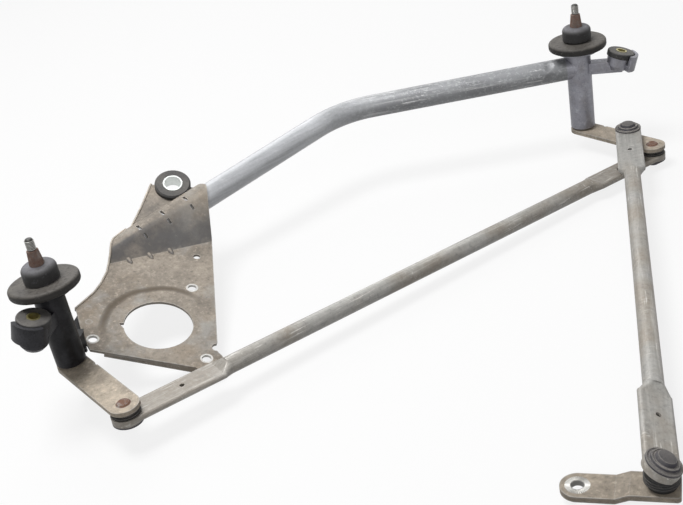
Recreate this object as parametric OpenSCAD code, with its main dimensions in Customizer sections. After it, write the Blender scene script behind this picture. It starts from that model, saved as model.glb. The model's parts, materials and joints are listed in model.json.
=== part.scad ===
// Windscreen wiper linkage: a bent tube frame with a pressed motor bracket and two cast pivot
// housings, two wiper shafts on levers, a long link between the levers, and a drive link that
// carries the motor crank. +Z runs along the wiper shafts. The origin is on the left shaft, at
// the foot of its arm thread, and +X points to the right shaft. All sizes are in millimetres.

/* [Layout] */
// Distance between the two wiper shafts
pivot_span = 630; // [600:1:660]
// Bearing of both levers at rest, from +X
lever_bearing = -86; // [-92:1:-80]
// Bearing of the drive link at rest, from +X
drive_bearing = -135.6; // [-140:0.1:-130]
// Bearing of the crank at rest, from its ball to its hole
crank_bearing = 129.5; // [120:0.5:140]

/* [Wiper shafts] */
// Diameter of the shaft in its bushes
shaft_d = 12; // [11:0.5:13]
// Diameter of the arm thread
thread_d = 8; // [7:0.5:9]
// Length of the arm thread
thread_len = 10.5; // [9:0.5:13]
// Height of the splined cone under the thread
cone_h = 13.8; // [12:0.2:16]
// Diameter of the cone at its top
cone_top_d = 9.4; // [9:0.1:10.5]
// Diameter of the cone at its foot
cone_foot_d = 12.6; // [12:0.1:13.6]
// Diameter of the shaft's staked end in the lever
stake_d = 9; // [8:0.5:10]
// Height of the staked head under the lever
stake_head_h = 1.6; // [1:0.2:2]

/* [Bushes and washers] */
// Running clearance between shaft and bush, on the radius
bush_clearance = 0.05; // [0.02:0.01:0.1]
// Wall of a shaft bush
bush_wall = 2; // [1.5:0.25:2.5]
// Length of a shaft bush
bush_len = 18; // [14:1:22]
// Thickness of a washer
washer_t = 1.2; // [1:0.1:1.5]
// Width of a washer's ring
washer_ring = 3.4; // [3:0.2:3.8]
// Thickness of the retaining clip
clip_t = 1.2; // [1:0.1:1.5]
// Depth of the clip's groove in the shaft
clip_groove = 1; // [0.6:0.1:1.2]
// Clearance between pieces that turn past each other
turn_gap = 0.35; // [0.3:0.05:0.5]

/* [Housings] */
// Diameter of a housing's barrel
barrel_d = 26.5; // [25:0.5:28]
// Length of the left barrel under its seal flange
left_barrel_len = 75; // [70:1:80]
// Length of the right barrel under its seal flange
right_barrel_len = 93; // [92:1:102]
// Diameter of the neck that holds the seal
neck_d = 20.4; // [20:0.2:21]
// Height of the neck above the seal's seat
neck_h = 13; // [12.5:0.5:13.5]
// Diameter of the seal flange
seal_flange_d = 44; // [40:1:50]
// Thickness of the seal flange
seal_flange_t = 4; // [3:0.5:5]
// Tilt of the left seal and its seat, which follow the cowl panel
left_seal_tilt = 5; // [0:0.5:5]
// Bearing that the left seal leans to
left_seal_lean = 79; // [60:1:100]
// Chamfer at the barrel's lower edge
barrel_chamfer = 1; // [0.5:0.1:1.5]

/* [Seals and dust caps] */
// Diameter of a seal ring
seal_d = 62; // [58:1:66]
// Thickness of a seal ring
seal_t = 8; // [7:0.5:9]
// Rounding of the seal's edge
seal_round = 2.6; // [1.5:0.1:3.4]
// Diameter of a dust cap
cap_d = 30.6; // [29:0.2:32]
// Height of a dust cap over the seal
cap_h = 16; // [15:0.5:17]
// Wall of a dust cap
cap_wall = 2.2; // [1.8:0.1:2.5]
// Rounding of the cap's shoulder
cap_round = 5; // [3:0.5:6]
// Gap under the cap, wide enough for the tilted seal
cap_lift = 1.8; // [1.7:0.1:2.4]

/* [Frame tube] */
// Outer diameter of the frame tube
tube_d = 25; // [24:0.2:26]
// Wall of the frame tube
tube_wall = 1.8; // [1.5:0.1:2.2]
// Centre-line radius of the bend
bend_r = 100; // [80:5:120]
// Distance of the bend's corner from the left shaft along X
bend_x = 406; // [396:1:416]
// Distance of the bend's corner from the left shaft along Y
bend_y = 146; // [138:1:152]
// Height of the bend's corner under the arm thread
bend_drop = 64; // [58:1:68]
// Height of the tube's right end under the arm thread
right_end_drop = 60; // [56:1:66]
// Place of the tube's left end along X
left_end_x = 110; // [108:1:112]
// Place of the tube's left end along Y
left_end_y = 116; // [115:1:118]
// Height of the tube's left end under the arm thread
left_end_drop = 93; // [92:1:95]
// Length of the cast spigot inside the tube's right end
spigot_len = 34; // [28:1:40]

/* [Motor bracket] */
// Thickness of the bracket's sheet
sheet_t = 2.5; // [2:0.1:2.6]
// Tilt of the motor plate to the shafts
plate_tilt = 19; // [17:0.5:21]
// Bearing that the motor plate leans to
plate_lean = -64.5; // [-70:0.5:-60]
// Place of the motor hole along X
motor_x = 86; // [84:1:88]
// Place of the motor hole along Y
motor_y = 2.5; // [1:0.5:4]
// Height of the motor hole under the arm thread
motor_drop = 121; // [120:1:122]
// Diameter of the motor hole
motor_hole_d = 63; // [58:1:66]
// Radius of the motor's bolt circle
motor_bolt_r = 61; // [60:0.5:62]
// Diameter of the motor's bolt holes
motor_bolt_d = 8.4; // [7:0.2:9]
// Diameter of the spare hole by the web
spare_hole_d = 6.8; // [5:0.2:8]
// Height of the flanges turned down round the plate
edge_flange_h = 7; // [5:0.5:9]
// Gap between the tube and the bracket's channel
channel_gap = 0.1; // [0.05:0.05:0.2]
// Length of the channel along the tube
channel_len = 122; // [118:1:126]
// Angle of the grommet ear to the tube's top
ear_rise = 10; // [6:1:14]
// Height of the ear's root above the tube's axis
ear_root_h = 4; // [2:0.5:6]

/* [Mounting grommets] */
// Diameter of the housings' grommets
grommet_d = 29; // [27:0.5:30]
// Thickness of a grommet's lip
grommet_lip_t = 6; // [5:0.5:7]
// Diameter of the part of a grommet inside its lug
grommet_plug_d = 18; // [17:0.5:19]
// Outer diameter of the housings' sleeves
sleeve_d = 11.5; // [11:0.5:13]
// Bore of the housings' sleeves, for the frame bolts
sleeve_bore = 8.6; // [8.2:0.1:9]
// Depth of the left lug under its grommet
left_lug_depth = 24; // [20:1:26]
// Depth of the right lug under its grommet
right_lug_depth = 14; // [12:1:18]
// Outer diameter of a lug
lug_d = 27; // [25:0.5:29]
// Tilt of the housings' lugs to the shafts
lug_tilt = 17; // [14:1:20]
// Bearing that the housings' lugs lean to
lug_lean = -38; // [-44:1:-32]
// Diameter of the bracket's grommet
peg_grommet_d = 37; // [35:0.5:39]
// Diameter of the bracket grommet's waist
peg_waist_d = 24.5; // [24:0.5:25]
// Outer diameter of the bracket's sleeve
peg_sleeve_d = 20; // [19.5:0.5:21]
// Bore of the bracket's sleeve, for the body's peg
peg_bore = 17; // [16:0.5:18]

/* [Levers] */
// Distance from a shaft to its long-link ball
lever_len = 94; // [88:1:100]
// Distance from the right shaft to the drive ball
drive_ball_r = 63; // [58:1:66]
// Width of a lever
lever_w = 27; // [25:0.5:29]
// Thickness of a lever
lever_t = 4; // [3.5:0.25:5]

/* [Ball joints] */
// Diameter of a ball
ball_d = 13.6; // [13:0.2:14]
// Diameter of a ball's neck
ball_neck_d = 6.4; // [6:0.2:7]
// Height of a ball above its lever
ball_rise = 8.5; // [8:0.25:10]
// Height of the crank's ball above the crank
crank_ball_rise = 16; // [15:0.5:18]
// Diameter of a ball stud's collar
ball_collar_d = 13; // [12:0.5:14]
// Thickness of a ball stud's collar
ball_collar_t = 1.6; // [1.2:0.1:2]
// Diameter of a ball stud's rivet head
rivet_head_d = 13; // [11:0.5:14]
// Height of a ball stud's rivet head
rivet_head_h = 1.6; // [1.2:0.1:2]
// Clearance round a ball in its socket
ball_gap = 0.3; // [0.3:0.05:0.4]
// Diameter of a socket's flange
socket_flange_d = 27; // [25:0.5:28]
// Diameter of a socket's body inside its link
socket_body_d = 19.4; // [19:0.2:20]
// Height of a socket's dome over its flange
socket_dome_h = 5.2; // [5:0.1:6]

/* [Links] */
// Diameter of the links' tube
link_d = 16; // [15:0.5:17]
// Wall of the links' tube
link_wall = 1.6; // [1.2:0.1:2]
// Width of a link's flattened end
link_end_w = 27; // [25.5:0.5:29]
// Thickness of a link's flattened end
link_end_t = 6; // [5:0.5:6.5]
// Length of the long link's flattened ends from their balls
long_end_len = 88; // [78:1:96]
// Length of the drive link's flattened upper end
drive_upper_len = 94; // [84:1:100]
// Length of the drive link's flattened crank end
drive_crank_len = 78; // [70:1:88]
// Length of the shoulder between tube and flattened end
link_shoulder = 9; // [7:1:14]
// Distance of a drain hole from its ball
drain_from_ball = 52; // [40:1:60]
// Diameter of a drain hole
drain_d = 4.4; // [3:0.2:5]
// Length of the drive link between its balls
drive_len = 544; // [530:1:556]
// Roll of the drive link's crank end
drive_roll = 26; // [20:1:28]

/* [Motor crank] */
// Distance from the crank's hole to its ball
crank_len = 57; // [54:0.5:60]
// Width of the crank
crank_w = 25; // [23:0.5:27]
// Thickness of the crank
crank_t = 4.5; // [4:0.25:5]
// Height of the crank's joggle
crank_joggle = 4; // [2:0.5:5]
// Diameter of the crank's hole
crank_hole_d = 9; // [8:0.2:10]

/* [Hidden] */

$fn = 64;
hull_sides = 32;
eps = 0.01;
draw_step = 0.04;
inset = 0.06;
reach = 400;
bracket_below = 60;
bracket_tall = 160;
tube_short = 4;
ear_d = peg_grommet_d - 3;
crimp_spots = [23, 52, 81];
crimp_turns = [48, 1];
crimp_w = 2.6;
bolt_room_d = 16;
crimp_len = 6.5;
drain_slot_w = 9;
drain_slot_t = 2.4;

steel = "#8b877c";
bright_steel = "#b9b9b7";
olive_steel = "#87806f";
dark_cast = "#3e4044";
grey_cast = "#77777b";
black_rubber = "#1f1f20";
cap_rubber = "#4a4a4b";
seal_foam = "#6a645d";
socket_plastic = "#3a3b42";
rusty_steel = "#6d5547";

// Heights along the shafts
cap_top_z = -cone_h;
seal_top_z = cap_top_z - cap_h;
seal_seat_z = seal_top_z - seal_t;
neck_top_z = seal_seat_z + neck_h;
left_foot_z = seal_seat_z - left_barrel_len;
right_foot_z = seal_seat_z - right_barrel_len;
left_lever_z = left_foot_z - 2 * turn_gap - washer_t;
right_lever_z = right_foot_z - 2 * turn_gap - washer_t;
bush_d = shaft_d + 2 * bush_clearance + 2 * bush_wall;

// Ball centres at rest
left_shaft = [0, 0, 0];
right_shaft = [pivot_span, 0, 0];
function polar(r, bearing) = [r * cos(bearing), r * sin(bearing), 0];
function up(z) = [0, 0, z];
left_ball = polar(lever_len, lever_bearing) + up(left_lever_z - lever_t - ball_rise);
right_ball = right_shaft + polar(lever_len, lever_bearing) + up(right_lever_z - lever_t - ball_rise);
drive_ball = right_shaft + polar(drive_ball_r, lever_bearing) + up(right_lever_z + ball_rise);
crank_ball = drive_ball + polar(drive_len, drive_bearing);
crank_top_z = crank_ball.z - crank_ball_rise;

// Frames: a matrix from an origin, a direction and a hint of which way is up
function unit(v) = v / norm(v);
function side(x, hint) = unit(cross(hint, x));
function matrix_of(o, x, y, z) = [
    [x.x, y.x, z.x, o.x],
    [x.y, y.y, z.y, o.y],
    [x.z, y.z, z.z, o.z],
    [0, 0, 0, 1]];
function facing(o, x, hint) = matrix_of(o, x, side(x, hint), cross(x, side(x, hint)));
function lean(tilt, bearing) = [sin(tilt) * cos(bearing), sin(tilt) * sin(bearing), cos(tilt)];

// Frame tube: left end, bend corner and right end
tube_left = [left_end_x, left_end_y, -left_end_drop];
tube_corner = [bend_x, bend_y, -bend_drop];
tube_right = right_shaft - up(right_end_drop);
left_run = unit(tube_corner - tube_left);
straight_run = unit(tube_right - tube_corner);
bend_angle = round(100 * acos(left_run * straight_run)) / 100;
bend_tangent = bend_r * tan(bend_angle / 2);
bend_normal = unit(cross(left_run, straight_run));
bend_inward = cross(bend_normal, left_run);
right_run = cos(bend_angle) * left_run + sin(bend_angle) * bend_inward;
right_tube_end = tube_right - right_run * (barrel_d / 2 + tube_wall);

// Motor plate: its own x and y lie nearly along the shared ones
plate_n = lean(plate_tilt, plate_lean);
motor_centre = [motor_x, motor_y, -motor_drop];
plate_x = unit(cross([0, 1, 0], plate_n));
plate_y = cross(plate_n, plate_x);
function on_plate_point(u, v, w) = motor_centre + u * plate_x + v * plate_y + w * plate_n;
motor_bolt_angles = [171, 32, -73];
plate_foot = [104, 87];
spare_hole_at = [78, 72];
rivet_spots = [[-54, 32], [-47, 49]];
lug_under_plate_t = 6;
arm_bearing = 48;

// Channel over the tube, in a frame along the tube's left run
channel_y = side(left_run, plate_n);
channel_z = cross(left_run, channel_y);
channel_in = tube_d / 2 + channel_gap;
channel_out = channel_in + sheet_t;
foot_from_tube = on_plate_point(plate_foot.x, plate_foot.y, 0) - tube_left;
foot_y = foot_from_tube * channel_y;
foot_z = foot_from_tube * channel_z;
foot_reach = norm([foot_y, foot_z]);
web_slope = atan2(-foot_z, -foot_y) + asin(channel_out / foot_reach);
web_len = sqrt(foot_reach * foot_reach - channel_out * channel_out);
ear_len = 62;
ear_hole_at = [86.5, 29];
ear_normal = -sin(ear_rise) * channel_y + cos(ear_rise) * channel_z;
ear_back = cos(ear_rise) * channel_y + sin(ear_rise) * channel_z;
ear_root = tube_left + ear_root_h * channel_z;
peg_centre = ear_root + ear_hole_at.x * left_run + ear_hole_at.y * ear_back;

// Housing lugs: distance and bearing from their shaft, and height of the grommet's top
left_lug_at = [32.3, -134, -45, left_lug_depth];
right_lug_at = [46.2, -48, -46, right_lug_depth];
lug_axis = lean(lug_tilt, lug_lean);

module along_z(o, axis) {
    multmatrix(facing(o, unit(cross([0, 1, 0], axis)), axis)) children();
}

module on_plate() {
    multmatrix(matrix_of(motor_centre, plate_x, plate_y, plate_n)) children();
}

module on_channel() {
    multmatrix(matrix_of(tube_left, left_run, channel_y, channel_z)) children();
}

// A ring between two heights
module ring(d_out, d_in, z0, z1) {
    translate([0, 0, z0]) difference() {
        cylinder(d = d_out, h = z1 - z0);
        translate([0, 0, -1]) cylinder(d = d_in, h = z1 - z0 + 2);
    }
}

// A bar with round ends between the origin and a distance along x
module round_bar(len, w, t) {
    cylinder(d = w, h = t);
    translate([len, 0, 0]) cylinder(d = w, h = t);
    translate([0, -w / 2, 0]) cube([len, w, t]);
}

// Solid rod along the frame tube's centre line, in the frame of its bend. The right run is drawn
// down by a step.
module tube_path(d, extra, step) {
    left_len = norm(tube_corner - tube_left) - bend_tangent - tube_short;
    right_len = norm(right_tube_end - tube_corner) - bend_tangent;
    translate([bend_r, 0, 0]) rotate([90, 0, 0]) cylinder(d = d, h = left_len + extra);
    rotate_extrude(angle = bend_angle) translate([bend_r, 0]) circle(d = d);
    rotate([0, 0, bend_angle]) translate([bend_r, -1, 0]) rotate([-90, 0, 0])
        cylinder(d = d - step, h = right_len + extra + 1);
}

module frame_tube() {
    bend_start = tube_corner - left_run * bend_tangent;
    color(bright_steel) multmatrix(matrix_of(bend_start + bend_inward * bend_r, -bend_inward, left_run, bend_normal))
        difference() {
            tube_path(tube_d, 0, draw_step);
            tube_path(tube_d - 2 * tube_wall, 1, -draw_step);
        }
}

// Outline of the whole bracket, seen square to the motor plate
module bracket_outline() {
    difference() {
        union() {
            polygon([[-68, -2], [-67, 16], [-57, 54], [-33, 67], [-22, 76], [-10, 89], [-5, 97], [2, 107],
                [7, 116], [12, 122], [20, 126], [36, 133], [56, 151], [78, 173], [117, 147], [122, 136],
                [104, 88], [37, -43.5], [31, -50], [31, -62], [19, -77]]);
            translate([17.8, -62]) circle(d = 28);
            translate([97, 160]) circle(d = ear_d);
        }
        translate([33, -50]) circle(d = 9);
    }
}

// Cross-section of the bracket's channel and ear, square to the tube
module channel_section() {
    difference() {
        circle(r = channel_out);
        circle(r = channel_in);
        rotate(web_slope + 90) translate([-reach, 0]) square(2 * reach);
        translate([0, -reach]) square([reach, reach + ear_root_h]);
    }
    translate([0, ear_root_h]) rotate(ear_rise) translate([channel_in, -sheet_t])
        square([ear_len, sheet_t]);
}

// Cross-section of the web from the plate up to the channel
module web_section() {
    translate([foot_y, foot_z]) rotate(web_slope) translate([-70, -sheet_t])
        square([web_len + 70, sheet_t]);
}

// Everything behind the web, where the plate ends
module behind_web() {
    translate([foot_y, foot_z]) rotate(web_slope) translate([-reach, -reach - sheet_t / 2])
        square([2 * reach, reach]);
}

// Lanced crimps that bite into the tube
module crimp_slots() {
    for (x = crimp_spots, turn = crimp_turns)
        translate([x, 0, 0]) rotate([turn, 0, 0]) translate([-crimp_w / 2, -crimp_len / 2, channel_in - 1])
            cube([crimp_w, crimp_len, sheet_t + 2]);
}

module motor_bracket() {
    color(olive_steel) difference() {
        union() {
            intersection() {
                on_plate() translate([0, 0, -bracket_below]) linear_extrude(bracket_tall) bracket_outline();
                union() {
                    on_channel() translate([-20, 0, 0]) rotate([90, 0, 90]) linear_extrude(channel_len + 40)
                        channel_section();
                    difference() {
                        on_channel() translate([-60, 0, 0]) rotate([90, 0, 90]) linear_extrude(channel_len + 80)
                            web_section();
                        on_plate() translate([-reach, -reach, -sheet_t / 2 - 100])
                            cube([2 * reach, reach + plate_foot.y + 25, 100]);
                    }
                    difference() {
                        on_plate() translate([-reach, -reach, -sheet_t])
                            cube([2 * reach, reach + plate_foot.y + 25, sheet_t]);
                        on_channel() translate([-100, 0, 0]) rotate([90, 0, 90]) linear_extrude(2 * reach)
                            behind_web();
                    }
                }
            }
            on_plate() edge_flanges();
        }
        on_plate() motor_holes();
        on_channel() crimp_slots();
        along_z(peg_centre, ear_normal) translate([0, 0, -20]) cylinder(d = peg_waist_d, h = 40);
    }
}

// Flanges turned down along the plate's front and right edges
module edge_flanges() {
    edge_flange([-58, -9], [4, -64]);
    edge_flange([39.6, -37], [97, 78]);
}

module edge_flange(from, to) {
    run = to - from;
    translate([from.x, from.y, -edge_flange_h]) rotate(atan2(run.y, run.x))
        cube([norm(run), sheet_t, edge_flange_h - sheet_t / 2]);
}

module motor_holes() {
    translate([0, 0, -5]) {
        cylinder(d = motor_hole_d, h = 10);
        rotate(156) translate([motor_hole_d / 2 - 3, 0, 0]) rotate(-30) cylinder(d = 16, h = 10, $fn = 3);
        for (a = motor_bolt_angles)
            rotate(a) translate([motor_bolt_r, 0, 0]) cylinder(d = motor_bolt_d, h = 10);
        translate(spare_hole_at) cylinder(d = spare_hole_d, h = 10);
        for (p = rivet_spots)
            translate(p) cylinder(d = 6, h = 10);
    }
}

// Cast pivot housing: barrel, seal flange and neck, bored for the bushes
module pivot_barrel(foot_z, seal_tilt) {
    translate([0, 0, foot_z]) {
        cylinder(d1 = barrel_d - 2 * barrel_chamfer, d2 = barrel_d, h = barrel_chamfer);
        translate([0, 0, barrel_chamfer]) cylinder(d = barrel_d, h = seal_seat_z - foot_z - barrel_chamfer);
    }
    translate([0, 0, seal_seat_z]) rotate([0, 0, left_seal_lean]) rotate([0, seal_tilt, 0])
        translate([0, 0, -seal_flange_t]) cylinder(d = seal_flange_d, h = seal_flange_t);
    translate([0, 0, seal_seat_z - seal_flange_t]) cylinder(d = neck_d, h = neck_h + seal_flange_t);
}

module pivot_bore(foot_z) {
    translate([0, 0, foot_z - 1]) cylinder(d = bush_d, h = neck_top_z - foot_z + 2);
}

// Lug with its rim, in the grommet's own frame: the grommet's top is at z = 0
module lug_solid(lug_depth) {
    translate([0, 0, -grommet_lip_t - lug_depth]) {
        cylinder(d1 = lug_d - 9, d2 = lug_d - 3, h = 4);
        translate([0, 0, 4]) cylinder(d1 = lug_d - 3, d2 = lug_d, h = lug_depth - 4);
    }
}

// Upright fin round the outer side of a lug
module lug_fin(bearing) {
    rotate(bearing - 50) translate([0, 0, -grommet_lip_t - 12]) rotate_extrude(angle = 100)
        translate([grommet_d / 2 + 0.8, 0]) square([3.4, 17]);
    rotate(bearing - 50) translate([0, 0, -grommet_lip_t - 12]) rotate_extrude(angle = 100)
        translate([lug_d / 2 - 3, 0]) square([(grommet_d - lug_d) / 2 + 5, 6]);
}

module lug_bore(lug_depth) {
    translate([0, 0, -grommet_lip_t - lug_depth - 1]) cylinder(d = grommet_plug_d, h = lug_depth + 1 + eps);
    translate([0, 0, -grommet_lip_t]) cylinder(d = grommet_d + 0.6, h = 40);
}

function lug_point(shaft, at) = shaft + polar(at[0], at[1]) + up(at[2]);

// Web of cast metal between the barrel and its lug
module lug_web(shaft, at) {
    translate([shaft.x, shaft.y, at[2] - grommet_lip_t - 16]) rotate(at[1]) translate([0, -7, 0])
        cube([at[0], 14, 12]);
}

module housing(shaft, foot_z, at, seal_tilt) {
    difference() {
        union() {
            translate(shaft) pivot_barrel(foot_z, seal_tilt);
            lug_web(shaft, at);
            along_z(lug_point(shaft, at), lug_axis) lug_solid(at[3]);
            along_z(lug_point(shaft, at), lug_axis) lug_fin(at[1]);
            children();
        }
        translate(shaft) pivot_bore(foot_z);
        along_z(lug_point(shaft, at), lug_axis) lug_bore(at[3]);
    }
}

module left_pivot_housing() {
    color(dark_cast) difference() {
        housing(left_shaft, left_foot_z, left_lug_at, left_seal_tilt) bracket_lug();
        on_plate() motor_holes();
        on_plate() rotate(motor_bolt_angles[0]) translate([motor_bolt_r, 0, -20]) cylinder(d = bolt_room_d, h = 40);
    }
}

// Cast arm from the barrel to a tongue under the motor plate, riveted to it
module bracket_lug() {
    rotate(arm_bearing) {
        translate([0, -9, left_foot_z + 2]) cube([25, 18, 14]);
        translate([17, -7.5, left_foot_z - 4]) cube([9, 15, 12]);
    }
    on_plate() translate([0, 0, -sheet_t - lug_under_plate_t]) linear_extrude(lug_under_plate_t)
        difference() {
            polygon([[-76, 10], [-66, 40], [-50, 55], [-40, 55], [-38, 46], [-46, 24], [-62, 22], [-66, 8]]);
            rotate(motor_bolt_angles[0]) translate([motor_bolt_r, 0]) circle(d = 18);
        }
}

module right_pivot_housing() {
    color(grey_cast) housing(right_shaft, right_foot_z, right_lug_at, 0)
        multmatrix(facing(tube_right, -right_run, [0, 0, 1])) rotate([0, 90, 0]) {
            cylinder(d = tube_d, h = barrel_d / 2 + tube_wall);
            cylinder(d = tube_d - 2 * tube_wall, h = barrel_d / 2 + spigot_len);
        }
}

// Flush rivets that hold the bracket to the left housing
module housing_rivets() {
    color(olive_steel) on_plate() for (p = rivet_spots) {
        translate([p.x, p.y, -sheet_t - lug_under_plate_t]) cylinder(d = 6, h = sheet_t + lug_under_plate_t);
        translate([p.x, p.y, -sheet_t - lug_under_plate_t - 2]) cylinder(d1 = 7, d2 = 10, h = 2);
    }
}

module upper_bush(shaft) {
    color("#9a7b4f") translate(shaft)
        ring(bush_d, shaft_d + 2 * bush_clearance, neck_top_z - bush_len, neck_top_z);
}

module lower_bush(shaft, foot_z) {
    color("#9a7b4f") translate(shaft)
        ring(bush_d, shaft_d + 2 * bush_clearance, foot_z, foot_z + bush_len);
}

module left_upper_bush() { upper_bush(left_shaft); }
module right_upper_bush() { upper_bush(right_shaft); }
module left_lower_bush() { lower_bush(left_shaft, left_foot_z); }
module right_lower_bush() { lower_bush(right_shaft, right_foot_z); }

// Foam ring round the neck, with a rounded edge
module seal_ring(shaft, seal_tilt) {
    color(seal_foam) difference() {
        translate(shaft + up(seal_seat_z)) rotate([0, 0, left_seal_lean]) rotate([0, seal_tilt, 0])
            rotate_extrude() {
                square([seal_d / 2 - seal_round, seal_t]);
                translate([0, seal_round]) square([seal_d / 2, seal_t - 2 * seal_round]);
                for (z = [seal_round, seal_t - seal_round])
                    translate([seal_d / 2 - seal_round, z]) circle(r = seal_round);
            }
        translate(shaft + up(seal_seat_z - 10)) cylinder(d = neck_d, h = 40);
    }
}

module left_seal_ring() { seal_ring(left_shaft, left_seal_tilt); }
module right_seal_ring() { seal_ring(right_shaft, 0); }

// Rubber grommet of a housing lug: a lip on the rim and a plug in the bore
module lug_grommet(lug_depth) {
    color(black_rubber) difference() {
        union() {
            translate([0, 0, -grommet_lip_t]) rotate_extrude() {
                square([grommet_d / 2 - 1.5, grommet_lip_t]);
                translate([0, 0]) square([grommet_d / 2, grommet_lip_t - 1.5]);
                translate([grommet_d / 2 - 1.5, grommet_lip_t - 1.5]) circle(r = 1.5);
            }
            translate([0, 0, -grommet_lip_t - lug_depth]) cylinder(d = grommet_plug_d, h = lug_depth + eps);
        }
        translate([0, 0, -60]) cylinder(d = sleeve_d, h = 80);
    }
}

module lug_sleeve(lug_depth) {
    color("#8a7a3a") ring(sleeve_d, sleeve_bore, -grommet_lip_t - lug_depth, 0.4);
}

module left_mount_grommet() { along_z(lug_point(left_shaft, left_lug_at), lug_axis) lug_grommet(left_lug_depth); }
module right_mount_grommet() { along_z(lug_point(right_shaft, right_lug_at), lug_axis) lug_grommet(right_lug_depth); }
module left_mount_sleeve() { along_z(lug_point(left_shaft, left_lug_at), lug_axis) lug_sleeve(left_lug_depth); }
module right_mount_sleeve() { along_z(lug_point(right_shaft, right_lug_at), lug_axis) lug_sleeve(right_lug_depth); }

// Grommet of the bracket's ear: two lips with a waist in the sheet
module bracket_mount_grommet() {
    color(black_rubber) difference() {
        along_z(peg_centre, ear_normal) union() {
            translate([0, 0, -sheet_t]) cylinder(d = peg_waist_d, h = sheet_t);
            for (flip = [0, 1])
                translate([0, 0, flip * -sheet_t]) mirror([0, 0, flip]) {
                    cylinder(d = peg_grommet_d, h = 4);
                    translate([0, 0, 4]) cylinder(d1 = peg_grommet_d, d2 = peg_grommet_d - 3, h = 1.5);
                }
        }
        along_z(peg_centre, ear_normal) translate([0, 0, -30]) cylinder(d = peg_sleeve_d, h = 60);
        on_channel() translate([-10, 0, 0]) rotate([0, 90, 0]) cylinder(r = channel_out + 0.2, h = 200);
    }
}

module bracket_mount_sleeve() {
    color(bright_steel) along_z(peg_centre, ear_normal)
        ring(peg_sleeve_d, peg_bore, -sheet_t - 5.5, 5.8);
}

// Wiper shaft: arm thread, splined cone, journal with a clip groove, and staked end
module wiper_shaft(shaft, lever_z) {
    color(rusty_steel) translate(shaft) difference() {
        union() {
            cylinder(d = thread_d, h = thread_len - 1);
            translate([0, 0, thread_len - 1]) cylinder(d1 = thread_d, d2 = thread_d - 1.6, h = 1);
            translate([0, 0, -cone_h]) cylinder(d1 = cone_foot_d, d2 = cone_top_d, h = cone_h);
            translate([0, 0, lever_z]) cylinder(d = shaft_d, h = -cone_h - lever_z);
            translate([0, 0, lever_z - lever_t]) cylinder(d = stake_d, h = lever_t);
            translate([0, 0, lever_z - lever_t - stake_head_h])
                cylinder(d1 = stake_d, d2 = stake_d + 4, h = stake_head_h);
        }
        translate([0, 0, clip_z()]) ring(shaft_d + 6, shaft_d - 2 * clip_groove, 0, clip_t);
    }
}

function clip_z() = neck_top_z + turn_gap + washer_t;

module left_wiper_shaft() { wiper_shaft(left_shaft, left_lever_z); }
module right_wiper_shaft() { wiper_shaft(right_shaft, right_lever_z); }

// Rubber cap that grips the cone's foot and hangs over the neck
module dust_cap(shaft) {
    cap_r = cap_d / 2;
    foot = seal_top_z + cap_lift;
    color(cap_rubber) translate(shaft) difference() {
        rotate_extrude() {
            translate([0, foot]) square([cap_r, cap_top_z - cap_round - foot]);
            translate([0, cap_top_z - cap_round]) square([cap_r - cap_round, cap_round]);
            translate([cap_r - cap_round, cap_top_z - cap_round]) intersection() {
                circle(r = cap_round);
                square(cap_round);
            }
        }
        translate([0, 0, foot - 1])
            cylinder(d = cap_d - 2 * cap_wall, h = cap_top_z - foot - cap_wall + 1);
        translate([0, 0, cap_top_z - 3 * cap_wall]) cylinder(d = cone_foot_d, h = 4 * cap_wall);
    }
}

module left_dust_cap() { dust_cap(left_shaft); }
module right_dust_cap() { dust_cap(right_shaft); }

module washer(shaft, z) {
    color(steel) translate(shaft) ring(shaft_d + 2 * washer_ring, shaft_d, z, z + washer_t);
}

module left_neck_washer() { washer(left_shaft, neck_top_z + turn_gap); }
module right_neck_washer() { washer(right_shaft, neck_top_z + turn_gap); }
module left_thrust_washer() { washer(left_shaft, left_lever_z + turn_gap); }
module right_thrust_washer() { washer(right_shaft, right_lever_z + turn_gap); }

// Open clip in the shaft's groove
module retaining_clip(shaft) {
    color(steel) translate(shaft + up(clip_z())) difference() {
        ring(shaft_d + 5, shaft_d - 2 * clip_groove, 0, clip_t);
        translate([0, -2, -1]) cube([shaft_d, 4, clip_t + 2]);
    }
}

module left_retaining_clip() { retaining_clip(left_shaft); }
module right_retaining_clip() { retaining_clip(right_shaft); }

// Lever blank in its own frame: shaft at the origin, balls along x, top at z = 0
module lever_blank(ball_at) {
    translate([0, 0, -lever_t]) difference() {
        union() {
            round_bar(lever_len, lever_w, lever_t);
        }
        translate([0, 0, -1]) cylinder(d = stake_d, h = lever_t + 2);
        for (r = ball_at)
            translate([r, 0, -1]) cylinder(d = ball_neck_d, h = lever_t + 2);
        translate([lever_w / 2 + 7, lever_w / 2 + 1, -1]) cylinder(d = 5, h = lever_t + 2);
    }
}

module left_lever() {
    color(olive_steel) translate([0, 0, left_lever_z]) rotate(lever_bearing) lever_blank([lever_len]);
}

module right_lever() {
    color(olive_steel) translate(right_shaft + up(right_lever_z)) rotate(lever_bearing)
        lever_blank([drive_ball_r, lever_len]);
}

// Ball stud standing on a plate of thickness t: the plate's face on the ball's side is at z = 0
module ball_stud(rise, t) {
    color(rusty_steel) {
        translate([0, 0, rise]) sphere(d = ball_d);
        translate([0, 0, -t]) cylinder(d = ball_neck_d, h = t + rise);
        cylinder(d = ball_collar_d, h = ball_collar_t);
        translate([0, 0, -t - rivet_head_h])
            cylinder(d1 = rivet_head_d - 3, d2 = rivet_head_d, h = rivet_head_h);
    }
}

module left_ball_stud() {
    translate(left_ball + up(ball_rise)) mirror([0, 0, 1]) ball_stud(ball_rise, lever_t);
}

module right_ball_stud() {
    translate(right_ball + up(ball_rise)) mirror([0, 0, 1]) ball_stud(ball_rise, lever_t);
}

module drive_ball_stud() {
    translate(drive_ball - up(ball_rise)) ball_stud(ball_rise, lever_t);
}

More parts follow.
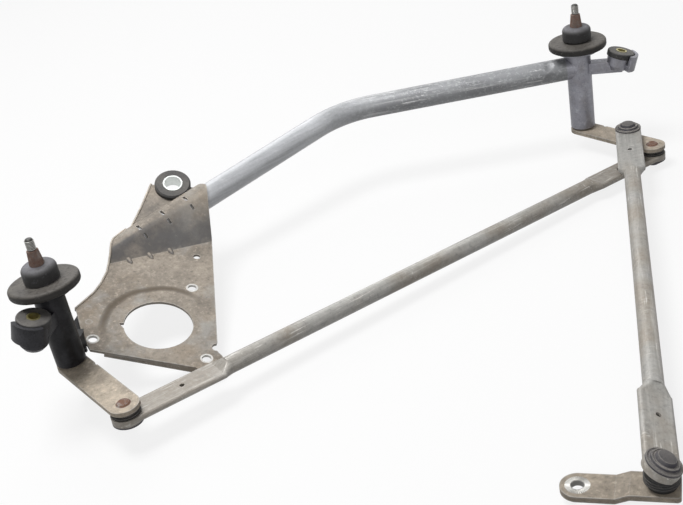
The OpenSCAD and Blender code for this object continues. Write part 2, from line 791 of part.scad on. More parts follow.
module crank_ball_stud() {
    translate([crank_ball.x, crank_ball.y, crank_top_z]) ball_stud(crank_ball_rise, crank_t);
}

// Link of a given length along x, with its two flattened ends rolled about x
module link(len, ends, rolls) {
    difference() {
        union() {
            translate([ends[0] + link_shoulder - 2, 0, 0]) rotate([0, 90, 0])
                cylinder(d = link_d, h = len - ends[0] - ends[1] - 2 * link_shoulder + 4);
            rotate([rolls[0], 0, 0]) link_end(ends[0]);
            translate([len, 0, 0]) rotate([rolls[1], 0, 0]) mirror([1, 0, 0]) link_end(ends[1]);
        }
        rotate([rolls[0], 0, 0]) link_end_holes(ends[0]);
        translate([len, 0, 0]) rotate([rolls[1], 0, 0]) mirror([1, 0, 0]) link_end_holes(ends[1]);
        translate([ends[0] + link_shoulder + 2, 0, 0]) rotate([0, 90, 0])
            cylinder(d = link_d - 2 * link_wall, h = len - ends[0] - ends[1] - 2 * link_shoulder - 4);
    }
}

module link_end(end_len) {
    translate([0, 0, -link_end_t / 2]) cylinder(d = link_end_w, h = link_end_t);
    rotate([90, 0, 90]) linear_extrude(end_len) flattened_section(0);
    hull() {
        translate([end_len - 2, 0, 0]) rotate([90, 0, 90]) linear_extrude(1)
            flattened_section(inset, $fn = hull_sides);
        translate([end_len + link_shoulder, 0, 0]) rotate([0, 90, 0])
            cylinder(d = link_d - 2 * inset, h = 1, $fn = hull_sides);
    }
}

// Section of a flattened end: an oblong with round sides
module flattened_section(less) {
    r = link_end_t / 2;
    square([link_end_w - link_end_t, link_end_t - 2 * less], center = true);
    for (s = [-1, 1])
        translate([s * (link_end_w / 2 - r), 0]) circle(r = r - less);
}

module link_end_holes(end_len) {
    translate([0, 0, -link_end_t]) cylinder(d = socket_body_d, h = 2 * link_end_t);
    translate([drain_from_ball, 0, -link_end_t]) cylinder(d = drain_d, h = 2 * link_end_t);
    translate([drain_from_ball - drain_d, -drain_slot_w / 2, -drain_slot_t / 2])
        cube([end_len + link_shoulder - drain_from_ball + drain_d + 5, drain_slot_w, drain_slot_t]);
}

// Plastic socket in a link's end: ball at the origin, dome on the +z side, mouth on the -z side
module socket() {
    cavity = ball_d / 2 + ball_gap;
    flange_z = link_end_t / 2;
    color(socket_plastic) difference() {
        union() {
            translate([0, 0, -flange_z]) cylinder(d = socket_body_d, h = link_end_t);
            translate([0, 0, flange_z]) cylinder(d = socket_flange_d, h = 2);
            translate([0, 0, flange_z + 2]) rotate_extrude() intersection() {
                translate([0, -30 + socket_dome_h]) circle(r = 30);
                square([socket_flange_d / 2 - 3, socket_dome_h]);
            }
        }
        sphere(r = cavity);
        translate([0, 0, -link_end_t]) cylinder(d = 0.88 * ball_d, h = link_end_t);
    }
}

// Rubber boot under a socket, from the link's face down to just off the lever
module boot(rise) {
    top = -link_end_t / 2;
    foot = -rise + turn_gap;
    color(black_rubber) difference() {
        union() {
            translate([0, 0, foot]) cylinder(d1 = socket_flange_d - 5, d2 = socket_flange_d - 2, h = (top - foot) / 2);
            translate([0, 0, (top + foot) / 2]) cylinder(d = socket_flange_d - 2, h = (top - foot) / 2);
        }
        translate([0, 0, foot - 1]) cylinder(d = ball_collar_d + 2 * turn_gap + 1, h = top - foot + 2);
    }
}

module on_long_link(end) {
    run = unit(right_ball - left_ball);
    multmatrix(facing(end == 0 ? left_ball : right_ball, run, [0, 0, 1])) children();
}

module on_drive_link(end) {
    run = unit(crank_ball - drive_ball);
    multmatrix(facing(end == 0 ? drive_ball : crank_ball, run, [0, 0, 1]))
        rotate([end == 0 ? 0 : -drive_roll, 0, 0]) children();
}

module long_link_tube() {
    color(steel) on_long_link(0) link(norm(right_ball - left_ball), [long_end_len, long_end_len], [0, 0]);
}

module drive_link_tube() {
    color(steel) on_drive_link(0) link(drive_len, [drive_upper_len, drive_crank_len], [0, -drive_roll]);
}

module long_link_left_socket() { on_long_link(0) mirror([0, 0, 1]) socket(); }
module long_link_right_socket() { on_long_link(1) mirror([0, 0, 1]) socket(); }
module long_link_left_boot() { on_long_link(0) mirror([0, 0, 1]) boot(ball_rise - 0.4); }
module long_link_right_boot() { on_long_link(1) mirror([0, 0, 1]) boot(ball_rise - 0.4); }
module drive_link_upper_socket() { on_drive_link(0) socket(); }
module drive_link_crank_socket() { on_drive_link(1) socket(); }
module drive_link_upper_boot() { on_drive_link(0) boot(ball_rise); }

// Boot of the crank joint: upright round the crank's ball, cut off at the rolled link
module drive_link_crank_boot() {
    color(black_rubber) difference() {
        translate([crank_ball.x, crank_ball.y, crank_top_z + turn_gap]) difference() {
            union() {
                cylinder(d1 = socket_flange_d - 7, d2 = socket_flange_d - 3, h = 5);
                translate([0, 0, 5]) cylinder(d = socket_flange_d - 3, h = 14);
            }
            translate([0, 0, -1]) cylinder(d = ball_collar_d + 2 * turn_gap + 1, h = 40);
        }
        on_drive_link(1) translate([-50, -50, -link_end_t / 2]) cube([100, 100, 60]);
    }
}

// Motor crank: a joggled bar, round at its hole and square at its ball
module motor_crank() {
    half = crank_w / 2;
    low = -crank_t - crank_joggle;
    flat = crank_len * 0.45;
    color(olive_steel)
        translate([crank_ball.x, crank_ball.y, crank_top_z]) rotate(crank_bearing + 180)
            translate([-crank_len, 0, 0]) difference() {
                intersection() {
                    rotate([90, 0, 0]) translate([0, 0, -reach]) linear_extrude(2 * reach)
                        polygon([[-half, low], [flat, low], [flat + 10, -crank_t], [crank_len + half, -crank_t],
                            [crank_len + half, 0], [flat + 10, 0], [flat, low + crank_t], [-half, low + crank_t]]);
                    translate([0, 0, 2 * low]) {
                        cylinder(d = crank_w, h = -4 * low);
                        translate([0, -half, 0]) cube([crank_len + half - 3, crank_w, -4 * low]);
                        translate([0, -half + 3, 0]) cube([crank_len + half, crank_w - 6, -4 * low]);
                        for (s = [-1, 1])
                            translate([crank_len + half - 3, s * (half - 3), 0]) cylinder(r = 3, h = -4 * low);
                    }
                }
                translate([0, 0, low - 1]) cylinder(d = crank_hole_d, h = crank_t + 2);
                translate([crank_len, 0, -crank_t - 1]) cylinder(d = ball_neck_d, h = crank_t + 2);
            }
}

frame_tube();
motor_bracket();
left_pivot_housing();
right_pivot_housing();
housing_rivets();
left_upper_bush();
left_lower_bush();
right_upper_bush();
right_lower_bush();
left_seal_ring();
right_seal_ring();
left_mount_grommet();
right_mount_grommet();
bracket_mount_grommet();
left_mount_sleeve();
right_mount_sleeve();
bracket_mount_sleeve();
left_wiper_shaft();
right_wiper_shaft();
left_dust_cap();
right_dust_cap();
left_neck_washer();
right_neck_washer();
left_retaining_clip();
right_retaining_clip();
left_thrust_washer();
right_thrust_washer();
left_lever();
right_lever();
left_ball_stud();
right_ball_stud();
drive_ball_stud();
long_link_tube();
long_link_left_socket();
long_link_right_socket();
long_link_left_boot();
long_link_right_boot();
drive_link_tube();
drive_link_upper_socket();
drive_link_crank_socket();
drive_link_upper_boot();
drive_link_crank_boot();
motor_crank();
crank_ball_stud();
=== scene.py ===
"""Looks of a windscreen wiper linkage: weathered finishes for its solids, some with painted shade, light
and sheen, the threads and splines of its shafts, the ridged sockets and folded boots of its ball joints,
the teeth round its crank's hole, and the rolled edge and pressed darts of its bracket. Lengths are in
metres, in the frame of the solids."""

import json
import math

import bmesh
import bpy
from bpy.props import FloatProperty, FloatVectorProperty, IntProperty, PointerProperty
from mathutils import Matrix, Vector

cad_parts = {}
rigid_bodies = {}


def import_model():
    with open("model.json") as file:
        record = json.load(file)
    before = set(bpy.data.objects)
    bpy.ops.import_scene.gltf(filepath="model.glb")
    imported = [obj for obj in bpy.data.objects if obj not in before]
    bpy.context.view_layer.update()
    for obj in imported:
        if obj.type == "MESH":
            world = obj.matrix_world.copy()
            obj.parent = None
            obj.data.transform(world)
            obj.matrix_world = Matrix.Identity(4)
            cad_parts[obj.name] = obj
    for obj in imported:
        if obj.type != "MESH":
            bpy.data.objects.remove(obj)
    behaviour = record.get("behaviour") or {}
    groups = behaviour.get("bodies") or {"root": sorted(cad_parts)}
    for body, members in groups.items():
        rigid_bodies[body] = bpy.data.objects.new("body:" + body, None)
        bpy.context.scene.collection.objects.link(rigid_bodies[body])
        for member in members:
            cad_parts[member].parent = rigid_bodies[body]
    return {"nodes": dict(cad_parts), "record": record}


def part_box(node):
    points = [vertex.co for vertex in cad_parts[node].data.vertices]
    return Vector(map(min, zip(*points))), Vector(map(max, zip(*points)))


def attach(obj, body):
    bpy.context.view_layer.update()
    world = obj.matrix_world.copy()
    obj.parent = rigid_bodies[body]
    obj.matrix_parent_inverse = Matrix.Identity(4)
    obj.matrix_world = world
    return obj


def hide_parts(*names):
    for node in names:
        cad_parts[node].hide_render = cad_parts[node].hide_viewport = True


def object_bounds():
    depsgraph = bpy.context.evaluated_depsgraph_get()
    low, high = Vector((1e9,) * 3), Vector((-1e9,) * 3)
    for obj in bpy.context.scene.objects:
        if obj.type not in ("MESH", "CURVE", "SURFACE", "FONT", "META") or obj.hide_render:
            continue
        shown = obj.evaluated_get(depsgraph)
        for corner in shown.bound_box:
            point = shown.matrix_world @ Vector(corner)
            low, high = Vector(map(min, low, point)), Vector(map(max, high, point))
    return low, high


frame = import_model()
CAD_BOX = [list(corner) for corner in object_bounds()]
NODES = frame["nodes"]
MOUNTS = {m["name"]: m for m in frame["record"]["mounts"]}
JOINTS = {j["name"]: j for j in frame["record"]["behaviour"]["joints"]}
BODY_OF = {n: b for b, members in frame["record"]["behaviour"]["bodies"].items() for n in members}

bl_info = {
    "name": "Wiper linkage looks",
    "version": (1, 0, 0),
    "blender": (4, 5, 0),
    "location": "View3D > Sidebar > Wiper",
    "description": "Finishes and fine detail for a windscreen wiper linkage",
    "category": "Object",
}


def colour(label, about, default):
    """A colour that a user would change."""
    return FloatVectorProperty(name=label, description=about, default=default, size=3,
                               subtype="COLOR", min=0, max=1)


def length(label, about, default):
    """A length that a user would change."""
    return FloatProperty(name=label, description=about, default=default, unit="LENGTH", precision=5)


def angle(label, about, degrees):
    """An angle that a user would change."""
    return FloatProperty(name=label, description=about, default=math.radians(degrees), subtype="ANGLE")


def count(label, about, default):
    """A number of like shapes round a ring."""
    return IntProperty(name=label, description=about, default=default, min=12)


class WiperFinishes(bpy.types.PropertyGroup):
    """Colours of the linkage's materials."""

    zinc: colour("Zinc", "Galvanised tube where it is clean", (0.61, 0.625, 0.65))
    link: colour("Links", "Galvanised links, duller than the tube", (0.43, 0.42, 0.395))
    phosphate: colour("Bracket", "Phosphated sheet of the bracket", (0.315, 0.273, 0.225))
    lever: colour("Levers", "Phosphated levers and crank", (0.4, 0.343, 0.274))
    # Painted shade: this dark grey stands in for the shade on the bracket's sloped web.
    web: colour("Web", "Grey of the bracket's sloped web", (0.1, 0.098, 0.1))
    stain: colour("Stain", "Brown stain in the phosphate", (0.15, 0.115, 0.078))
    bare: colour("Bare steel", "Steel rubbed bright at edges and rims", (0.66, 0.65, 0.62))
    rust: colour("Rust", "Rust on shafts and studs", (0.15, 0.078, 0.052))
    dark_casting: colour("Left housing", "Dark painted casting", (0.009, 0.009, 0.01))
    grey_casting: colour("Right housing", "Bare die casting", (0.3, 0.3, 0.335))
    rubber: colour("Rubber", "Black moulded rubber", (0.016, 0.016, 0.017))
    cap: colour("Dust caps", "Dusty rubber of the caps", (0.1, 0.097, 0.097))
    foam: colour("Seals", "Closed-cell foam of the seals", (0.05, 0.044, 0.039))
    dust: colour("Dust", "Pale road dust", (0.32, 0.3, 0.27))
    plastic: colour("Sockets", "Dark plastic of the ball sockets", (0.06, 0.057, 0.068))
    bright: colour("Bright zinc", "New zinc plate of the peg's sleeve", (0.74, 0.77, 0.74))
    yellow: colour("Yellow zinc", "Passivated zinc of the bolt sleeves", (0.55, 0.5, 0.24))
    bronze: colour("Bronze", "Sintered bronze of the bushes", (0.36, 0.24, 0.11))


class WiperSizes(bpy.types.PropertyGroup):
    """Sizes of the fine detail."""

    thread_r: length("Thread radius", "Outer radius of the arm thread", 0.004)
    thread_pitch: length("Thread pitch", "Rise of the arm thread in one turn", 0.00125)
    thread_len: length("Thread length", "Length of the arm thread", 0.0105)
    cone_h: length("Cone height", "Height of the splined cone", 0.0138)
    cone_top_r: length("Cone top", "Radius of the cone at its top", 0.0047)
    cone_foot_r: length("Cone foot", "Radius of the cone at its foot", 0.0063)
    shaft_r: length("Shaft radius", "Radius of the shaft in its bushes", 0.006)
    splines: count("Splines", "Splines round a cone", 44)
    spline: length("Spline width", "Width of a spline on its cone", 0.0007)
    thread_depth: length("Thread depth", "Depth of the arm thread", 0.00062)
    thread_wire: length("Thread crest", "Radius of the thread's rounded crest", 0.00036)
    bolt_angle: angle("Bolt angle", "Bearing of the upper motor bolt on the plate", 32)
    web_foot: length("Web foot", "Distance from the motor hole's middle to the foot of the web", 0.0952)
    edge_bead: length("Edge bead", "Radius of the bracket's rolled edge", 0.00115)
    link_half: length("Half link", "Half the thickness of a link's flat end", 0.003)
    socket_body_r: length("Socket body", "Radius of a socket's body in its link", 0.0097)
    socket_flange_r: length("Socket flange", "Radius of a socket's flange", 0.0135)
    socket_cavity_r: length("Socket cavity", "Radius of the ball's seat in a socket", 0.0071)
    socket_top: length("Socket top", "Height of a socket's dome over its ball", 0.0102)
    boot_r: length("Boot radius", "Outer radius of a boot's widest fold", 0.0125)
    boot_tall: length("Boot height", "Height of a boot from its link to just off the lever", 0.00475)
    boot_bore_r: length("Boot bore", "Radius of the hole through a boot", 0.00735)
    crank_boot_r: length("Crank boot", "Radius of the upright boot on the crank's ball", 0.012)
    fold_foot: length("First fold", "Height of the crank boot's lowest fold over its foot", 0.005)
    fold_step: length("Fold step", "Distance between the crank boot's folds", 0.0022)
    drive_roll: angle("Drive link roll", "Turn of the drive link's crank end about its length", 26)
    serrations: count("Serrations", "Teeth round the crank's hole", 36)
    tooth: length("Tooth", "Width of a tooth round the crank's hole", 0.0006)
    seat_r: length("Crank seat", "Outer radius of the teeth round the crank's hole", 0.0089)
    dart: FloatVectorProperty(name="Dart", description="Half width, length and height of a pressed dart",
                              default=(0.0026, 0.0062, 0.0026), unit="LENGTH", precision=5)


OPAQUE = 1.0
UP = (0, 0, 1)


class Val:
    """A number that changes over a surface, for arithmetic in a material."""

    def __init__(self, tree, socket):
        self.tree = tree
        self.socket = socket

    def math(self, operation, *terms, clamp=False):
        """What an operation on numbers or other values gives."""
        node = self.tree.nodes.new("ShaderNodeMath")
        node.operation = operation
        node.use_clamp = clamp
        for place, term in zip(node.inputs, terms):
            if isinstance(term, Val):
                self.tree.links.new(term.socket, place)
            else:
                place.default_value = term
        return Val(self.tree, node.outputs[0])

    def __add__(self, other):
        return self.math("ADD", self, other)

    def __radd__(self, other):
        return self.math("ADD", other, self)

    def __sub__(self, other):
        return self.math("SUBTRACT", self, other)

    def __rsub__(self, other):
        return self.math("SUBTRACT", other, self)

    def __mul__(self, other):
        return self.math("MULTIPLY", self, other)

    def __rmul__(self, other):
        return self.math("MULTIPLY", other, self)

    def __truediv__(self, other):
        return self.math("DIVIDE", self, other)

    def clamped(self):
        """The value held between 0 and 1."""
        return self.math("ADD", self, 0, clamp=True)

    def above(self, low, high):
        """0 below low, 1 above high, and a straight ramp between."""
        return ((self - low) / (high - low)).clamped()


class Tree:
    """A node tree that is made node by node."""

    def node(self, kind, settings=None, **sockets):
        """A node of a kind, with its settings first and then its sockets' values or links."""
        made = self.tree.nodes.new(kind)
        for key, value in (settings or {}).items():
            setattr(made, key, value)
        for key, value in sockets.items():
            numbered = key[1:].isdigit()
            self.join(made.inputs[int(key[1:]) if numbered else key.replace("_", " ")], value)
        return made

    def join(self, place, value):
        """Sets a socket to a number, a colour or what another node gives."""
        if isinstance(value, Val):
            value = value.socket
        if isinstance(value, bpy.types.NodeSocket):
            self.tree.links.new(value, place)
        else:
            place.default_value = value


class Finish(Tree):
    """One material and the nodes that make it."""

    def __init__(self, name):
        self.material = bpy.data.materials.new(name)
        self.material.use_nodes = True
        self.tree = self.material.node_tree
        self.shader = self.tree.nodes["Principled BSDF"]
        self.place = self.node("ShaderNodeTexCoord").outputs["Object"]

    def turned(self, angle, stretch):
        """Object coordinates turned about Z, then stretched."""
        flat = self.node("ShaderNodeMapping", Vector=self.place, Rotation=(0, 0, angle))
        return self.node("ShaderNodeMapping", Vector=flat.outputs[0], Scale=stretch).outputs[0]

    def noise(self, scale, detail, at=None, rough=0.55):
        """Even noise over the object, or over other coordinates."""
        made = self.node("ShaderNodeTexNoise", Vector=at or self.place, Scale=scale, Detail=detail,
                         Roughness=rough)
        return Val(self.tree, made.outputs["Fac"])

    def vector(self, operation, first, second):
        """What an operation on two vectors gives."""
        made = self.node("ShaderNodeVectorMath", {"operation": operation}, _0=first, _1=second)
        return Val(self.tree, made.outputs["Value"])

    def scratches(self, scale, angle):
        """Thin lines along a bearing, broken by a slow noise."""
        lines = self.noise(scale, 2.0, self.turned(angle, (0.06, 1.0, 1.0)), 0.5)
        return lines.above(0.62, 0.7) * self.noise(38.0, 3.0).above(0.45, 0.6)

    def edges(self, radius):
        """How sharp the surface is nearby: 0 on a flat, 1 on an edge."""
        soft = self.node("ShaderNodeBevel", {"samples": 4}, Radius=radius)
        return (1 - self.facing(soft.outputs[0])).above(0.01, 0.12)

    def facing(self, direction):
        """How much the surface looks along a direction."""
        surface = self.node("ShaderNodeNewGeometry")
        return self.vector("DOT_PRODUCT", surface.outputs["Normal"], direction)

    def from_point(self, point):
        """Distance from a point of the object."""
        return self.vector("DISTANCE", self.place, tuple(point))

    def along(self, point, direction):
        """Distance past a point along a direction."""
        shifted = self.node("ShaderNodeVectorMath", {"operation": "SUBTRACT"}, _0=self.place,
                            _1=tuple(point))
        return self.vector("DOT_PRODUCT", shifted.outputs[0], tuple(direction))

    def mix(self, share, first, second):
        """Two colours mixed by a share."""
        made = self.node("ShaderNodeMix", {"data_type": "RGBA"})
        self.join(made.inputs[0], share)
        for place, value in ((made.inputs[6], first), (made.inputs[7], second)):
            self.join(place, (*value, OPAQUE) if isinstance(value, tuple) else value)
        return made.outputs[2]

    def finish(self, shade, roughness, metallic=0.0, height=None, depth=0.0002, strength=0.5, shine=0.5):
        """Joins the surface's colour, roughness and bump, and returns the material."""
        self.join(self.shader.inputs["Base Color"], shade)
        self.join(self.shader.inputs["Roughness"], roughness)
        self.join(self.shader.inputs["Metallic"], metallic)
        self.shader.inputs["Specular IOR Level"].default_value = shine
        if height is not None:
            bump = self.node("ShaderNodeBump", Height=height, Distance=depth, Strength=strength)
            self.join(self.shader.inputs["Normal"], bump.outputs[0])
        return self.material


def tone(value, by=1.0):
    """A colour as it is, or made lighter or darker."""
    return tuple(min(1.0, part * by) for part in value)


BEND_X = (0.36, 0.44)          # where the frame tube bends
DIMPLE_R = (0.002, 0.0062)     # a dimple's floor and its rim
CROSS_TURN = 1.3               # turn of the scratches that cross a tube's streaks


def galvanised(name, zinc, stain, runs, wear, shine, dimples=(), ends=()):
    """Galvanised tube: streaks along each run, mottle, rubbed lines, stained ends and pressed dimples, each
    bumped in and painted darker as shade in its hollow.

    A tube with two runs is dull past its bend, and a straight one is dull all over."""
    f = Finish(name)
    bent = len(runs) > 1
    turns = [f.turned(angle, (0.045, 1.0, 1.0)) for angle in runs]
    streaks = [f.noise(300.0, 6.0, at, 0.65) for at in turns]
    past_bend = f.along((0, 0, 0), (1, 0, 0)).above(*BEND_X)
    streak = streaks[0] + (streaks[-1] - streaks[0]) * past_bend
    mottle = f.noise(240.0, 8.0, rough=0.7)
    cloud = f.noise(20.0, 6.0)
    fine = f.noise(420.0, 5.0)
    dull = past_bend * 0.75 + 0.15 if bent else 0.8
    rubbed = f.noise(60.0, 9.0, turns[-1], 0.75).above(0.54, 0.62) * wear * dull
    crossed = f.scratches(600.0, runs[0] + CROSS_TURN)
    lines = (f.scratches(430.0, runs[-1]) + crossed * 0.6) * dull
    light = (streak * 1.3 + fine * 0.4 - 0.4).clamped()
    shade = f.mix(light, tone(zinc, 0.6), tone(zinc, 1.3))
    shade = f.mix(cloud.above(0.42, 0.62) * dull, shade, stain)
    if bent:
        shade = f.mix(past_bend * 0.8, shade, stain)
    for point, reach in ends:
        near = 1 - (f.from_point(point) + (cloud - 0.5) * 0.06).above(reach * 0.4, reach)
        shade = f.mix(near * 0.75, shade, stain)
    shade = f.mix(mottle.above(0.52, 0.7) * dull * 0.5, shade, tone(zinc, 1.2))
    shade = f.mix((1 - mottle.above(0.34, 0.48)) * dull * 0.6, shade, tone(zinc, 0.4))
    shade = f.mix((rubbed * 0.6 + lines * 0.85).clamped(), shade, tone(zinc, 1.9))
    rough = 0.16 + cloud * 0.12 + fine * 0.1 + dull * 0.22
    height = (streak * 0.8 + fine * 0.8 + mottle * 0.5) * dull - lines
    for point in dimples:
        # Painted shade: the dimple's hollow is darkened as well as bumped in.
        pit = 1 - f.from_point(point).above(*DIMPLE_R)
        shade = f.mix(pit * 0.5, shade, tone(zinc, 0.4))
        height = height - pit * 7.0
    return f.finish(shade, rough, 0.2, height, 0.00022, 0.6, shine)


def phosphated(name, base, finishes, rims=(), step=None, rim_shade=1.1):
    """Phosphated sheet steel: blotched brown and grey, pale rubbed edges and bare rims round its holes.

    A step gives the bracket its pressed ring round the motor hole, with a dark line painted along the ring
    as shade, a lighter band painted on steep faces above the plate as light, and its sloped web painted
    dark grey as shade."""
    f = Finish(name)
    blotch = f.noise(30.0, 7.0, rough=0.62)
    cloud = f.noise(11.0, 4.0)
    fine = f.noise(380.0, 5.0)
    edge = f.edges(0.002) * f.noise(90.0, 4.0).above(0.25, 0.55)
    scuffs = f.noise(75.0, 9.0, rough=0.75).above(0.6, 0.74)
    shade = f.mix(blotch.above(0.32, 0.68), tone(base, 0.62), tone(base, 1.34))
    shade = f.mix(cloud.above(0.48, 0.7) * 0.7, shade, tone(finishes.stain))
    shade = f.mix(fine.above(0.5, 0.72) * 0.35, shade, tone(base, 0.55))
    speck = f.noise(230.0, 8.0, rough=0.75)
    shade = f.mix(speck.above(0.54, 0.66) * 0.65, shade, tone(base, 1.8))
    shade = f.mix((1 - speck.above(0.34, 0.46)) * 0.65, shade, tone(base, 0.35))
    shade = f.mix(scuffs * 0.5, shade, tone(base, 2.0))
    shade = f.mix(edge * 0.75, shade, tone(finishes.bare, 0.8))
    rough = 0.46 + blotch * 0.2 + fine * 0.1 - scuffs * 0.08
    metal = 0.12 + scuffs * 0.2
    height = fine * 0.7 + blotch * 0.5
    for point, reach in rims:
        rim = 1 - f.from_point(point).above(reach * 0.92, reach)
        shade = f.mix(rim * 0.9, shade, tone(finishes.bare, rim_shade))
        rough = rough - rim * 0.14
    if step is not None:
        centre, across, rise, low, high = step
        upper = f.along(centre, across).above(0.004, 0.03)
        out = (f.from_point(centre) + (cloud - 0.5) * 0.012).above(low, high)
        height = height + out * upper * 14.0
        pale = f.noise(24.0, 6.0, rough=0.65).above(0.52, 0.66)
        brown = f.noise(15.0, 6.0).above(0.54, 0.68)
        shade = f.mix(pale * 0.55, shade, tone(finishes.bare, 0.62))
        shade = f.mix(brown * 0.6, shade, tone(finishes.stain, 1.5))
        # Painted shade: a dark brown line along the slope of the pressed ring.
        shade = f.mix(out * (1 - out) * upper * 3.6, shade, tone(finishes.stain, 0.7))
        slope = f.facing(UP)
        raised = f.along(centre, rise)
        foot = 1 - (raised + (cloud - 0.5) * 0.03).above(0.012, 0.03)
        ragged = (raised + (f.noise(120.0, 4.0) - 0.5) * 0.016).above(-0.004, 0.003)
        steep = 1 - slope.above(0.78, 0.92)
        # Painted light: steep faces well above the plate, the channel's flank, are lightened.
        shade = f.mix(steep * raised.above(0.016, 0.03) * 0.45, shade, tone(base, 1.8))
        # Painted shade: the sloped web, found by which way it faces and its height over the plate, is laid
        # in dark grey.
        web = slope.above(0.2, 0.45) * steep * foot * ragged
        cover = (0.85 - scuffs * 0.5 - blotch.above(0.48, 0.62) * 0.3).clamped()
        shade = f.mix(web * cover, shade, tone(finishes.web))
    return f.finish(shade, rough, metal.clamped(), height, 0.00025, 0.55)


def cast_metal(name, base, dust, dusty, metallic, rough=0.3, shine=0.3, dust_and_sheen_spots=()):
    """Die-cast surface: a fine orange-peel grain with clouds of dust, and paler near given points, as dust
    and a painted sheen.
    """
    f = Finish(name)
    grain = f.noise(520.0, 4.0)
    cloud = f.noise(32.0, 6.0)
    edge = f.edges(0.0014) * f.noise(120.0, 3.0).above(0.35, 0.65)
    shade = f.mix(cloud.above(0.3, 0.75), tone(base, 0.72), tone(base, 1.3))
    shade = f.mix(f.noise(70.0, 7.0).above(0.5, 0.75) * dusty, shade, tone(dust, 0.6))
    speck = f.noise(210.0, 8.0, rough=0.75)
    # Paler grey near given points: dust, and a painted sheen on the left housing's lug.
    for point, reach in dust_and_sheen_spots:
        near = 1 - (f.from_point(point) + (cloud - 0.5) * reach).above(reach * 0.5, reach)
        shade = f.mix(near * (0.25 + speck * 0.5), shade, tone(dust, 0.8))
    shade = f.mix(speck.above(0.54, 0.7) * 0.45, shade, tone(base, 2.0))
    shade = f.mix(edge * 0.45, shade, tone(base, 2.6))
    shade = f.mix(grain.above(0.5, 0.75) * 0.45, shade, tone(base, 0.5))
    return f.finish(shade, rough + cloud * 0.24, metallic, grain + cloud * 0.6, 0.00026, 0.6, shine)


def moulded(name, base, dust, dusty, grain_scale, depth, rubbed=0.0, pits=0.4, side_shade=0.0):
    """Rubber, foam or plastic: dust on the faces that look up, painted shade on the sides and undersides,
    and pale edges that are rubbed wear and, on the ridged sockets, a painted highlight as well.
    """
    f = Finish(name)
    grain = f.noise(grain_scale, 5.0)
    cloud = f.noise(55.0, 6.0)
    slope = f.facing(UP)
    up = slope.above(0.35, 0.95)
    shade = f.mix(cloud.above(0.3, 0.75), tone(base, 0.75), tone(base, 1.3))
    # Painted shade: faces that look sideways or down are darkened towards near black.
    if side_shade > 0:
        shade = f.mix((1 - slope.above(0.0, 0.75)) * side_shade, shade, tone(base, 0.2))
    shade = f.mix(up * cloud.above(0.25, 0.7) * dusty, shade, tone(dust, 0.7))
    shade = f.mix(grain.above(0.52, 0.7) * pits, shade, tone(base, 0.4))
    shade = f.mix(f.noise(190.0, 8.0, rough=0.75).above(0.56, 0.7) * 0.3, shade, tone(dust, 0.8))
    # Pale edges: rubbed wear, and on the ridged sockets a painted highlight along the ridges as well.
    if rubbed > 0:
        shade = f.mix(f.edges(0.0009) * cloud.above(0.15, 0.5) * rubbed, shade, tone(dust, 1.5))
    return f.finish(shade, 0.4 + cloud * 0.36, 0.0, grain + cloud * 0.4, depth, 0.6, 0.35)


def rusty(name, finishes, share, bright=1.0, rubbed=0.6, thread_foot=None):
    """Bare steel with surface rust, and above a thread's foot no rust and a root painted near black as
    shade between the turns.
    """
    f = Finish(name)
    blotch = f.noise(160.0, 7.0, rough=0.65)
    fine = f.noise(900.0, 4.0)
    rusted = (blotch + share - 0.5).above(0.35, 0.62)
    edge = f.edges(0.0006)
    threaded = None
    if thread_foot is not None:
        threaded = f.along((0, 0, thread_foot), UP).above(-0.0002, 0.0002)
        rusted = rusted * (1 - threaded)
    steel = f.mix(fine, tone(finishes.bare, 0.35 * bright), tone(finishes.bare, 0.7 * bright))
    shade = f.mix(rusted, steel, f.mix(fine, tone(finishes.rust, 0.7), tone(finishes.rust, 1.7)))
    shade = f.mix(edge * rubbed, shade, tone(finishes.bare, 0.9))
    # Painted shade: the root between the thread's turns is painted near black.
    if threaded is not None:
        shade = f.mix(threaded * 0.85, shade, tone(finishes.bare, 0.06))
    return f.finish(shade, 0.36 + rusted * 0.4, (1 - rusted * 0.8).clamped(), fine + blotch, 0.00015, 0.6)


def plated(name, base, stain):
    """Zinc plate with a slight haze."""
    f = Finish(name)
    cloud = f.noise(140.0, 5.0)
    fine = f.noise(1100.0, 3.0)
    shade = f.mix(cloud.above(0.45, 0.8) * 0.6, base, stain)
    return f.finish(shade, 0.22 + cloud * 0.2, 0.85, fine, 0.00006, 0.4)


def tube_dimples():
    """Middles of the two dimples that hold the frame tube on the right housing's spigot."""
    pivot = Vector(MOUNTS["right_arm_thread"]["pos_m"]) + Vector((0, 0, -0.06))
    bend = Vector((0.406, 0.146, -0.064))
    tube_r, from_pivot, apart = 0.0125, 0.034, math.radians(32)
    run = (bend - pivot).normalized()
    front = Vector((-0.5, -0.78, 0.37))
    front = (front - run * front.dot(run)).normalized() * tube_r
    axis = pivot + run * from_pivot
    return [axis + Matrix.Rotation(turn, 3, run) @ front for turn in (-apart, apart)]


def made_of(name):
    """A finish that was made before, by its name."""
    return bpy.data.materials[name]


def dress(node, material):
    """Gives a solid its material."""
    mesh = NODES[node].data
    if len(mesh.materials) == 0:
        mesh.materials.append(material)
    for i in range(len(mesh.materials)):
        mesh.materials[i] = material


def piece(name, mesh, body, material=None):
    """A finished mesh as an object that moves with a body."""
    made = bpy.data.objects.new(name, mesh)
    bpy.context.scene.collection.objects.link(made)
    if material is not None:
        mesh.materials.clear()
        mesh.materials.append(material)
    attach(made, body)
    return made


